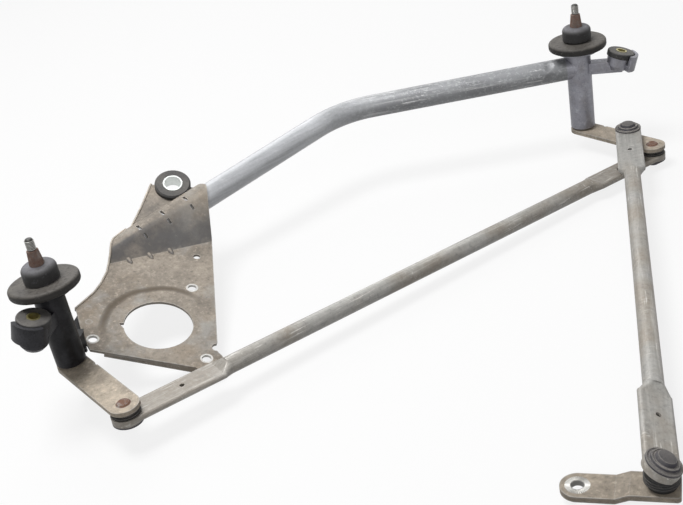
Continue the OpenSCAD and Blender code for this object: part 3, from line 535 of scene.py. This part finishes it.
def lathe(name, outline, place, sides=72):
    """A closed mesh turned from an outline of radius and height.

    An outline that starts off the axis joins up with its start."""
    shape = bmesh.new()
    rings = []
    for radius, height in outline:
        points = sides if radius > 0 else 1
        turns = [2 * math.pi * i / points for i in range(points)]
        rings.append([shape.verts.new((radius * math.cos(t), radius * math.sin(t), height))
                      for t in turns])
    ending = rings[:1] if outline[0][0] > 0 else []
    for low, high in zip(rings, rings[1:] + ending):
        for i in range(sides):
            spots = ((low, i), (low, i + 1), (high, i + 1), (high, i))
            corners = [ring[k % len(ring)] for ring, k in spots]
            shape.faces.new(list(dict.fromkeys(corners)))
    bmesh.ops.recalc_face_normals(shape, faces=shape.faces)
    mesh = bpy.data.meshes.new(name)
    shape.to_mesh(mesh)
    shape.free()
    mesh.transform(place)
    mesh.shade_smooth()
    mesh.set_sharp_from_angle(angle=math.radians(35))
    return mesh


class Recipe(Tree):
    """A geometry node tree with named inputs, one of them its material."""

    def __init__(self, name, **inputs):
        self.tree = bpy.data.node_groups.new(name, "GeometryNodeTree")
        self.ids = {}
        for label, kind in (*inputs.items(), ("Material", "Material")):
            made = self.tree.interface.new_socket(label, in_out="INPUT", socket_type="NodeSocket" + kind)
            self.ids[label] = made.identifier
        self.tree.interface.new_socket("Geometry", in_out="OUTPUT", socket_type="NodeSocketGeometry")
        self.start = self.node("NodeGroupInput")

    def given(self, label):
        """What the tree's user sets for an input."""
        return next(s for s in self.start.outputs if s.identifier == self.ids[label])

    def tube(self, line, wire, sides, **ends):
        """A line swept to a round wire."""
        ring = self.node("GeometryNodeCurvePrimitiveCircle", Resolution=sides, Radius=self.given(wire))
        return self.node("GeometryNodeCurveToMesh", Curve=line.outputs[0], Profile_Curve=ring.outputs[0],
                         **ends)

    def smooth(self, shape):
        """A shape with smooth shading."""
        return self.node("GeometryNodeSetShadeSmooth", Geometry=shape.outputs[0])

    def repeat(self, points, shape, **turns):
        """A shape on every point."""
        return self.node("GeometryNodeInstanceOnPoints", Points=points.outputs[0],
                         Instance=shape.outputs[0], **turns)

    def close(self, shape):
        """Ends the tree in real faces with their material."""
        real = self.node("GeometryNodeRealizeInstances", Geometry=shape.outputs[0])
        painted = self.node("GeometryNodeSetMaterial", Geometry=real.outputs[0],
                            Material=self.given("Material"))
        self.node("NodeGroupOutput", _0=painted.outputs[0])
        return self

    def mesh(self, name, place, **values):
        """Runs the tree with these values and gives a plain mesh in its place."""
        carrier = bpy.data.objects.new(name, bpy.data.meshes.new(name))
        bpy.context.scene.collection.objects.link(carrier)
        modifier = carrier.modifiers.new(name, "NODES")
        modifier.node_group = self.tree
        for label, value in values.items():
            modifier[self.ids[label]] = value
        bpy.context.view_layer.update()
        graph = bpy.context.evaluated_depsgraph_get()
        made = bpy.data.meshes.new_from_object(carrier.evaluated_get(graph))
        carrier.modifiers.clear()
        bpy.data.objects.remove(carrier)
        made.name = name
        made.transform(place)
        return made


def thread_recipe():
    """A helix of round wire, sunk into the thread's core."""
    r = Recipe("Arm thread", Radius="Float", Turns="Float", Height="Float", Wire="Float")
    helix = r.node("GeometryNodeCurveSpiral", Resolution=40, Rotations=r.given("Turns"),
                   Start_Radius=r.given("Radius"), End_Radius=r.given("Radius"), Height=r.given("Height"))
    return r.close(r.tube(helix, "Wire", 6, Fill_Caps=True))


def ring_recipe():
    """Like bars set round an axis, each leaning outwards by the same angle."""
    r = Recipe("Ring of teeth", Count="Int", Radius="Float", Size="Vector", Lean="Float", Roll="Vector")
    bar = r.node("GeometryNodeMeshCube", Size=r.given("Size"))
    lean = r.node("ShaderNodeCombineXYZ", Y=r.given("Lean"))
    out = r.node("ShaderNodeCombineXYZ", X=r.given("Radius"))
    edge_up = r.node("GeometryNodeTransform", Geometry=bar.outputs[0], Rotation=r.given("Roll"))
    placed = r.node("GeometryNodeTransform", Geometry=edge_up.outputs[0], Rotation=lean.outputs[0],
                    Translation=out.outputs[0])
    spots = r.node("GeometryNodePoints", Count=r.given("Count"))
    index = r.node("GeometryNodeInputIndex")
    part = r.node("ShaderNodeMath", {"operation": "DIVIDE"}, _0=index.outputs[0], _1=r.given("Count"))
    turn = r.node("ShaderNodeMath", {"operation": "MULTIPLY"}, _0=part.outputs[0], _1=2 * math.pi)
    spin = r.node("ShaderNodeCombineXYZ", Z=turn.outputs[0])
    return r.close(r.repeat(spots, placed, Rotation=spin.outputs[0]))


def fold_recipe():
    """Rings stacked along an axis: the folds of a boot."""
    r = Recipe("Boot folds", Count="Int", Radius="Float", Wire="Float", Step="Vector")
    hoop = r.node("GeometryNodeCurvePrimitiveCircle", Resolution=64, Radius=r.given("Radius"))
    stack = r.node("GeometryNodeMeshLine", {"mode": "OFFSET"}, Count=r.given("Count"),
                   Offset=r.given("Step"))
    return r.close(r.repeat(stack, r.smooth(r.tube(hoop, "Wire", 10))))


def dart_recipe():
    """Pressed darts in a row: one swelling on every point of a line."""
    r = Recipe("Pressed darts", Count="Int", Start="Vector", Step="Vector", Size="Vector")
    swelling = r.node("GeometryNodeMeshUVSphere", Segments=24, Rings=12, Radius=1.0)
    shaped = r.node("GeometryNodeTransform", Geometry=swelling.outputs[0], Scale=r.given("Size"))
    row = r.node("GeometryNodeMeshLine", {"mode": "OFFSET"}, Count=r.given("Count"),
                 Start_Location=r.given("Start"), Offset=r.given("Step"))
    return r.close(r.repeat(row, r.smooth(shaped)))


def rolled_edge_recipe():
    """A bead along the sharp edges of a sheet that lie on a guide surface."""
    reach, corner, doubles = 0.0002, math.radians(45), 0.00002
    r = Recipe("Rolled edge", Sheet="Object", Guide="Object", Bead="Float")
    sheet = r.node("GeometryNodeObjectInfo", Object=r.given("Sheet"))
    guide = r.node("GeometryNodeObjectInfo", Object=r.given("Guide"))
    joined = r.node("GeometryNodeMergeByDistance", Geometry=sheet.outputs["Geometry"], Distance=doubles)
    near = r.node("GeometryNodeProximity", {"target_element": "FACES"}, _0=guide.outputs["Geometry"])
    close = r.node("FunctionNodeCompare", {"operation": "LESS_THAN"}, _0=near.outputs["Distance"],
                   _1=reach)
    bend = r.node("GeometryNodeInputMeshEdgeAngle")
    sharp = r.node("FunctionNodeCompare", {"operation": "GREATER_THAN"}, _0=bend.outputs[0], _1=corner)
    both = r.node("FunctionNodeBooleanMath", {"operation": "AND"}, _0=close.outputs[0],
                  _1=sharp.outputs[0])
    line = r.node("GeometryNodeMeshToCurve", Mesh=joined.outputs[0], Selection=both.outputs[0])
    return r.close(r.smooth(r.tube(line, "Bead", 10, Fill_Caps=True)))


class WIPER_OT_finishes(bpy.types.Operator):
    """Gives every solid its weathered, procedural finish, with some painted shade, light and sheen"""

    bl_idname = "wiper.finishes"
    bl_label = "Finishes"

    def execute(self, context):
        f = context.scene.wiper_finishes
        stain, dust, lug_dust_and_sheen = tone(f.stain), tone(f.dust), tone(f.grey_casting, 0.5)
        motor = Vector(MOUNTS["motor_pilot"]["pos_m"])
        plate_up = -Vector(MOUNTS["motor_pilot"]["axis"])
        across = plate_up.cross(Vector((1, 0, 0))).normalized()
        ring_inner, ring_outer = 0.046, 0.055
        bolt_rim_r, crank_rim_r, lug_r, stained = 0.0062, 0.0093, 0.034, 0.17
        bolt_rims = [(MOUNTS["motor_bolt_" + k]["pos_m"], bolt_rim_r) for k in "abc"]
        crank_rim = [(MOUNTS["crank_hole"]["pos_m"], crank_rim_r)]
        lug = [(MOUNTS["left_frame_bolt"]["pos_m"], lug_r)]
        low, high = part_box("long_link_tube")
        middle = (low + high) / 2
        ends = [((x, middle.y, middle.z), stained) for x in (low.x, high.x)]
        past_bend, before_bend, drive_run = -0.1, 0.578, math.radians(135.6)
        zinc = galvanised("tube_zinc", tone(f.zinc), tone(f.zinc, 0.33), (past_bend, before_bend),
                          wear=1.0, shine=1.0, dimples=tube_dimples())
        long_zinc = galvanised("long_link_zinc", tone(f.link), tone(f.lever, 0.66), (0.0,),
                               wear=0.9, shine=0.7, ends=ends)
        drive_zinc = galvanised("drive_link_zinc", tone(f.link), tone(f.lever, 0.8), (drive_run,),
                                wear=0.8, shine=0.7)
        bracket = phosphated("bracket_phosphate", tone(f.phosphate), f, bolt_rims,
                             (motor, across, plate_up, ring_inner, ring_outer))
        lever = phosphated("lever_phosphate", tone(f.lever, 1.1), f)
        crank = phosphated("crank_phosphate", tone(f.lever, 0.77), f, crank_rim, rim_shade=0.42)
        phosphated("edge_steel", tone(f.phosphate, 1.8), f)
        rubber = moulded("black_rubber", tone(f.rubber), dust, 0.25, 600.0, 0.0002, rubbed=0.5)
        # The grommets, caps and seals get painted shade on their sides and undersides.
        grommet = moulded("dusty_grommet", tone(f.cap, 0.7), dust, 0.65, 600.0, 0.0003, side_shade=0.7)
        # The caps' pale blue-grey tops are dust and a painted sheen.
        cap = moulded("dust_and_sheen_cap", tone(f.cap), tone(f.grey_casting, 1.2), 0.6, 700.0, 0.0002, side_shade=0.9)
        foam = moulded("pitted_foam", tone(f.foam), dust, 0.5, 300.0, 0.0008, pits=0.75, side_shade=0.95)
        # The sockets' pale ridge lines are partly a painted highlight.
        plastic = moulded("dust_and_highlight_plastic", tone(f.plastic), dust, 0.75, 800.0, 0.0001, rubbed=1.0)
        # The left housing's lug is painted paler blue-grey: dust and a painted sheen.
        dark = cast_metal("painted_casting", tone(f.dark_casting), lug_dust_and_sheen, 0.4, 0.0, 0.28, 0.18, lug)
        grey = cast_metal("bare_casting", tone(f.grey_casting), dust, 0.45, 0.55)
        bright = plated("bright_plate", tone(f.bright), tone(f.bright, 0.8))
        yellow = plated("yellow_plate", tone(f.yellow), stain)
        bronze = plated("sintered_bronze", tone(f.bronze), stain)
        plated("bare_steel", tone(f.bare, 1.15), tone(f.bare, 0.8))
        stud = rusty("rusted_stud", f, 0.62)
        rusty("rusted_shaft", f, 0.6, 0.6, 0.2, MOUNTS["left_arm_thread"]["pos_m"][2])
        rusty("thread_steel", f, 0.12, 1.1, 0.3)
        by_ending = {"bush": bronze, "seal_ring": foam, "grommet": grommet, "dust_cap": cap,
                     "washer": bright, "clip": bright, "lever": lever, "stud": stud, "socket": plastic,
                     "boot": rubber, "mount_sleeve": yellow, "rivets": bracket, "wiper_shaft": stud}
        by_name = {"frame_tube": zinc, "motor_bracket": bracket, "left_pivot_housing": dark,
                   "right_pivot_housing": grey, "bracket_mount_sleeve": bright, "long_link_tube": long_zinc,
                   "drive_link_tube": drive_zinc, "motor_crank": crank}
        for name in NODES:
            material = by_name.get(name) or next(m for end, m in by_ending.items() if name.endswith(end))
            dress(name, material)
        return {"FINISHED"}


CONE_SUNK = 0.0003      # the cone's core under its splines
THREAD_START = 0.0007   # the helix starts this far over the cone
THREAD_PLAIN = 0.002    # length of the thread's two ends with no helix


def shaft_outline(s, foot):
    """Outline of a wiper shaft from its thread's foot: staked end, clip groove, cone and thread core."""
    r, top, root = s.shaft_r, s.thread_len, s.thread_r - s.thread_depth
    groove_r = r - 0.0016
    return [(0, foot), (groove_r, foot), (r - 0.0001, foot + 0.0012), (groove_r, foot + 0.0018),
            (groove_r, foot + 0.0054), (r, foot + 0.0056), (r, -s.cone_h - 0.0008),
            (s.cone_foot_r - CONE_SUNK, -s.cone_h), (s.cone_top_r - CONE_SUNK, -CONE_SUNK),
            (root, 0), (root, top - 0.0012), (root - 0.0006, top - 0.0002), (root - 0.001, top), (0, top)]


class WIPER_OT_shafts(bpy.types.Operator):
    """Makes the wiper shafts with their threads and splined cones"""

    bl_idname = "wiper.shafts"
    bl_label = "Wiper shafts"

    def execute(self, context):
        s = context.scene.wiper_sizes
        thread, ring = thread_recipe(), ring_recipe()
        for side in ("left", "right"):
            node, body = side + "_wiper_shaft", side + "_arm"
            place = Matrix.Translation(Vector(MOUNTS[side + "_arm_thread"]["pos_m"]))
            outline = shaft_outline(s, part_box(node)[0].z)
            core = piece(side + "_shaft_core", lathe(node, outline, place), body,
                         made_of("rusted_shaft"))
            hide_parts(node)
            run = s.thread_len - THREAD_PLAIN
            wound = thread.mesh(side + "_thread", place @ Matrix.Translation((0, 0, THREAD_START)),
                                Radius=s.thread_r - s.thread_wire, Turns=run / s.thread_pitch, Height=run,
                                Wire=s.thread_wire, Material=made_of("thread_steel"))
            piece(side + "_arm_thread_helix", wound, body)
            lean = -math.atan2(s.cone_foot_r - s.cone_top_r, s.cone_h)
            middle = (s.cone_foot_r + s.cone_top_r) / 2 - CONE_SUNK
            teeth = ring.mesh(side + "_splines", place @ Matrix.Translation((0, 0, -s.cone_h / 2)),
                              Count=s.splines, Radius=middle, Size=(s.spline, s.spline, s.cone_h * 0.94),
                              Lean=lean, Roll=(0, 0, math.pi / 4), Material=made_of("rusted_shaft"))
            piece(side + "_cone_splines", teeth, body)
        return {"FINISHED"}


def socket_outline(s):
    """Outline of a ball socket from its ball's middle: the seat, the body, the flange and a ridged dome."""
    steps = 12
    open_turn = math.acos(-s.link_half / s.socket_cavity_r)
    turns = [open_turn * i / steps for i in range(steps + 1)]
    seat = [(s.socket_cavity_r * math.sin(t), s.socket_cavity_r * math.cos(t)) for t in turns]
    body = [(s.socket_body_r, -s.link_half), (s.socket_body_r, s.link_half),
            (s.socket_flange_r, s.link_half)]
    ridges = ((1.0, 0.21), (0.975, 0.27), (0.93, 0.285), (0.885, 0.22), (0.83, 0.22), (0.79, 0.29),
              (0.775, 0.5), (0.745, 0.57), (0.69, 0.58), (0.65, 0.5), (0.6, 0.5), (0.56, 0.6),
              (0.54, 0.78), (0.48, 0.91), (0.33, 0.98), (0.0, 1.0))
    rise = s.socket_top - s.link_half
    return seat + body + [(s.socket_flange_r * across, s.link_half + rise * up) for across, up in ridges]


def boot_outline(s):
    """Outline of a folded boot that stands on its link and ends in a neck."""
    tall = s.boot_tall
    folds = ((0.98, 0.0), (1.0, 0.12), (1.0, 0.36), (0.96, 0.46), (0.86, 0.52), (0.84, 0.58),
             (0.9, 0.66), (0.9, 0.8), (0.82, 0.88), (0.8, 1.0))
    return ([(s.boot_r * across, tall * up) for across, up in folds]
            + [(s.boot_bore_r, tall), (s.boot_bore_r, 0.0)])


def lying(ball, run):
    """Place of a ball joint: its ball's middle, with X along its link and Z up."""
    along = run.normalized()
    across = Vector(UP).cross(along).normalized()
    place = Matrix((along, across, along.cross(across))).transposed().to_4x4()
    place.translation = ball
    return place


def joint_places(s):
    """Places of the four ball joints, with the socket's dome on the Z side."""
    spot = {name: Vector(joint["pos_m"]) for name, joint in JOINTS.items()}
    left, upper, crank = spot["long_link_swing"], spot["drive_link_swing"], spot["crank_turn"]
    right = left + spot["right_pivot"] - spot["left_pivot"]
    dome_down = Matrix.Rotation(math.pi, 4, "X")
    return {"long_link_left": lying(left, right - left) @ dome_down,
            "long_link_right": lying(right, right - left) @ dome_down,
            "drive_link_upper": lying(upper, crank - upper),
            "drive_link_crank": lying(crank, crank - upper) @ Matrix.Rotation(-s.drive_roll, 4, "X")}


class WIPER_OT_ball_joints(bpy.types.Operator):
    """Makes the ridged sockets and the folded boots of the ball joints"""

    bl_idname = "wiper.ball_joints"
    bl_label = "Ball joints"

    def execute(self, context):
        s = context.scene.wiper_sizes
        rubber, plastic = made_of("black_rubber"), made_of("dust_and_highlight_plastic")
        under_link = Matrix.Translation((0, 0, -s.link_half)) @ Matrix.Rotation(math.pi, 4, "X")
        for joint, place in joint_places(s).items():
            node = joint + "_socket"
            shape = lathe(node, socket_outline(s), place)
            socket = piece(node + "_ridged", shape, BODY_OF[node], plastic)
            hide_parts(node)
            node = joint + "_boot"
            if joint == "drive_link_crank":
                self.crank_boot_folds(s, node, rubber)
            else:
                shape = lathe(node, boot_outline(s), place @ under_link)
                boot = piece(node + "_folded", shape, BODY_OF[node], rubber)
                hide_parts(node)
        return {"FINISHED"}

    @staticmethod
    def crank_boot_folds(s, node, rubber):
        """Folds on the upright boot of the crank's ball, which the rolled link cuts off."""
        ball = Vector(JOINTS["crank_turn"]["pos_m"])
        place = Matrix.Translation((ball.x, ball.y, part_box(node)[0].z + s.fold_foot))
        folds = fold_recipe().mesh(node + "_folds", place, Count=3, Radius=s.crank_boot_r,
                                   Wire=s.fold_step * 0.3, Step=(0, 0, s.fold_step), Material=rubber)
        piece(node + "_folds", folds, BODY_OF[node])


class WIPER_OT_crank_seat(bpy.types.Operator):
    """Makes the bright serrated seat round the crank's hole"""

    bl_idname = "wiper.crank_seat"
    bl_label = "Crank seat"

    def execute(self, context):
        s = context.scene.wiper_sizes
        hole = MOUNTS["crank_hole"]
        top = Vector(hole["pos_m"]) + Vector((0, 0, hole["dims"]["length_mm"] / 2000))
        inner = hole["dims"]["r_mm"] / 1000 + s.tooth
        teeth = ring_recipe().mesh("crank_teeth", Matrix.Translation(top), Count=s.serrations,
                                   Radius=(inner + s.seat_r) / 2, Size=(s.seat_r - inner, s.tooth, s.tooth),
                                   Lean=0.0, Roll=(math.pi / 4, 0, 0), Material=made_of("bare_steel"))
        piece("crank_seat_teeth", teeth, "crank")
        return {"FINISHED"}


def plate_place(s):
    """Place of the motor plate: the motor hole's middle, with X and Y on the plate and Z its normal."""
    middle = Vector(MOUNTS["motor_pilot"]["pos_m"])
    up = -Vector(MOUNTS["motor_pilot"]["axis"])
    bolt = Vector(MOUNTS["motor_bolt_b"]["pos_m"]) - middle
    bolt = (bolt - up * bolt.dot(up)).normalized()
    along = Matrix.Rotation(-s.bolt_angle, 3, up) @ bolt
    place = Matrix((along, up.cross(along), up)).transposed().to_4x4()
    place.translation = middle
    return place


LEFT_EDGE = ((-0.0574, 0.052), (-0.057, 0.054), (-0.033, 0.067), (-0.022, 0.076), (-0.01, 0.089),
             (-0.005, 0.097), (0.002, 0.107), (0.007, 0.116), (0.012, 0.122), (0.02, 0.126),
             (0.036, 0.133), (0.056, 0.151), (0.078, 0.173))     # the bracket's outline, on the plate


def edge_guide(place):
    """An upright ribbon through the bracket's left edge."""
    low, high = -0.08, 0.12
    corners = [(x, y, z) for z in (low, high) for x, y in LEFT_EDGE]
    n = len(LEFT_EDGE)
    ribbon = bpy.data.meshes.new("edge_guide")
    ribbon.from_pydata(corners, [], [(i, i + 1, n + i + 1, n + i) for i in range(n - 1)])
    ribbon.transform(place)
    guide = bpy.data.objects.new("edge_guide", ribbon)
    bpy.context.scene.collection.objects.link(guide)
    return guide


class WIPER_OT_bracket_detail(bpy.types.Operator):
    """Makes the rolled left edge and the pressed darts of the bracket"""

    bl_idname = "wiper.bracket_detail"
    bl_label = "Bracket detail"

    def execute(self, context):
        s = context.scene.wiper_sizes
        place = plate_place(s)
        first, step = (0.0165, s.web_foot, 0.0007), (0.0212, -0.0022, 0)
        darts = dart_recipe().mesh("web_darts", place, Count=3, Start=first, Step=step,
                                   Size=tuple(s.dart), Material=made_of("bracket_phosphate"))
        piece("bracket_web_darts", darts, "frame")
        guide = edge_guide(place)
        bead = rolled_edge_recipe().mesh("rolled_edge", Matrix(), Sheet=NODES["motor_bracket"], Guide=guide,
                                         Bead=s.edge_bead, Material=made_of("edge_steel"))
        bpy.data.objects.remove(guide)
        if len(bead.polygons) == 0:
            raise RuntimeError("the bracket's left edge was not found")
        piece("bracket_rolled_edge", bead, "frame")
        return {"FINISHED"}


LAMPS = (                       # name, place, side and power in watts
    ("top_lamp", (-0.1, 0.2, 1.7), 0.8, 26.0),
    ("back_lamp", (0.9, 1.4, 1.1), 1.4, 9.0),
    ("front_lamp", (-1.0, -1.5, 1.0), 1.0, 9.0),
)
LIT_POINT = Vector((0.3, -0.1, -0.1))
FLOOR_GAP = 0.002               # under the lowest point of the solids
FLOOR_SPAN = 60.0
FLOOR_WHITE = 0.82              # how much of the floor is plain white to the eye; the rest shows shadow
WORLD_LIGHT = 0.13
PHOTO_WIDTH, FOCAL_PIXELS, SENSOR = 683, 1100, 36.0
CAMERA_PLACE = (-0.1899, -0.83901, 0.39112)
CAMERA_RIGHT = Vector((0.8052, -0.56753, -0.17193))
CAMERA_UP = Vector((0.40373, 0.3123, 0.85992))


def background_share(tree, paths):
    """1 for the rays that see the white background: to the eye, in a reflection or through glass."""
    return sum((Val(tree, paths.outputs[ray]) for ray in ("Is Glossy Ray", "Is Transmission Ray")),
               Val(tree, paths.outputs["Is Camera Ray"])).clamped()


class WIPER_OT_stage(bpy.types.Operator):
    """Makes the pale floor, the soft lamps and the camera"""

    bl_idname = "wiper.stage"
    bl_label = "Stage"

    def execute(self, context):
        scene = context.scene
        z = CAD_BOX[0][2] - FLOOR_GAP
        corners = [(x * FLOOR_SPAN, y * FLOOR_SPAN, z) for x, y in ((-1, -1), (1, -1), (1, 1), (-1, 1))]
        mesh = bpy.data.meshes.new("studio_floor")
        mesh.from_pydata(corners, [], [(0, 1, 2, 3)])
        mesh.materials.append(self.floor_material())
        floor = bpy.data.objects.new("studio_floor", mesh)
        scene.collection.objects.link(floor)
        self.world(scene)
        for lamp in LAMPS:
            self.lamp(scene, *lamp)
        self.camera(scene)
        scene.view_settings.view_transform = "Standard"
        return {"FINISHED"}

    @staticmethod
    def floor_material():
        """Paper that is white to the eye, keeps the shadow and can be looked through from below."""
        f = Finish("floor_paper")
        paths = f.node("ShaderNodeLightPath")
        camera = Val(f.tree, paths.outputs["Is Camera Ray"])
        f.finish(f.mix(camera, (0.12, 0.12, 0.12), (0.9, 0.9, 0.9)), 0.9)
        white = f.node("ShaderNodeEmission", Color=(1, 1, 1, 1), Strength=1.0)
        both = f.node("ShaderNodeMixShader", _0=background_share(f.tree, paths) * FLOOR_WHITE,
                      _1=f.shader.outputs[0], _2=white.outputs[0])
        under = Val(f.tree, f.node("ShaderNodeNewGeometry").outputs["Backfacing"]) * camera
        clear = f.node("ShaderNodeBsdfTransparent")
        one_sided = f.node("ShaderNodeMixShader", _0=under, _1=both.outputs[0], _2=clear.outputs[0])
        f.join(f.tree.nodes["Material Output"].inputs[0], one_sided.outputs[0])
        return f.material

    @staticmethod
    def world(scene):
        """Dim light all round, and white where the background is seen."""
        world = bpy.data.worlds.new("studio")
        world.use_nodes = True
        scene.world = world
        tree = world.node_tree
        share = background_share(tree, tree.nodes.new("ShaderNodeLightPath"))
        background = tree.nodes["Background"]
        background.inputs["Color"].default_value = (1, 1, 1, 1)
        tree.links.new((WORLD_LIGHT + share * (1 - WORLD_LIGHT)).socket, background.inputs["Strength"])

    @staticmethod
    def lamp(scene, name, place, size, power):
        """A square soft lamp that looks at the linkage."""
        data = bpy.data.lights.new(name, "AREA")
        data.shape = "SQUARE"
        data.size = size
        data.energy = power
        lamp = bpy.data.objects.new(name, data)
        lamp.location = place
        lamp.rotation_euler = (LIT_POINT - lamp.location).to_track_quat("-Z", "Y").to_euler()
        scene.collection.objects.link(lamp)

    @staticmethod
    def camera(scene):
        """The photograph's camera."""
        data = bpy.data.cameras.new("photo_camera")
        data.sensor_fit = "HORIZONTAL"
        data.sensor_width = SENSOR
        data.lens = SENSOR * FOCAL_PIXELS / PHOTO_WIDTH
        data.clip_start = 0.01
        made = bpy.data.objects.new("photo_camera", data)
        turn = Matrix((CAMERA_RIGHT, CAMERA_UP, CAMERA_RIGHT.cross(CAMERA_UP))).transposed()
        made.matrix_world = Matrix.Translation(CAMERA_PLACE) @ turn.to_4x4()
        scene.collection.objects.link(made)
        scene.camera = made


class WIPER_PT_panel(bpy.types.Panel):
    """Lists the linkage's operators"""

    bl_idname = "WIPER_PT_panel"
    bl_label = "Wiper linkage"
    bl_space_type = "VIEW_3D"
    bl_region_type = "UI"
    bl_category = "Wiper"

    def draw(self, context):
        for operator in OPERATORS:
            self.layout.operator(operator.bl_idname)
        for group in (context.scene.wiper_finishes, context.scene.wiper_sizes):
            for key in group.__annotations__:
                self.layout.prop(group, key)


OPERATORS = (WIPER_OT_finishes, WIPER_OT_shafts, WIPER_OT_ball_joints, WIPER_OT_crank_seat,
             WIPER_OT_bracket_detail, WIPER_OT_stage)
CLASSES = (WiperFinishes, WiperSizes, *OPERATORS, WIPER_PT_panel)


def register():
    for made in CLASSES:
        bpy.utils.register_class(made)
    bpy.types.Scene.wiper_finishes = PointerProperty(type=WiperFinishes)
    bpy.types.Scene.wiper_sizes = PointerProperty(type=WiperSizes)


def unregister():
    del bpy.types.Scene.wiper_sizes
    del bpy.types.Scene.wiper_finishes
    for made in reversed(CLASSES):
        bpy.utils.unregister_class(made)


def main():
    register()
    bpy.ops.wiper.finishes()
    bpy.ops.wiper.shafts()
    bpy.ops.wiper.ball_joints()
    bpy.ops.wiper.crank_seat()
    bpy.ops.wiper.bracket_detail()
    bpy.ops.wiper.stage()


if __name__ == "__main__":
    main()
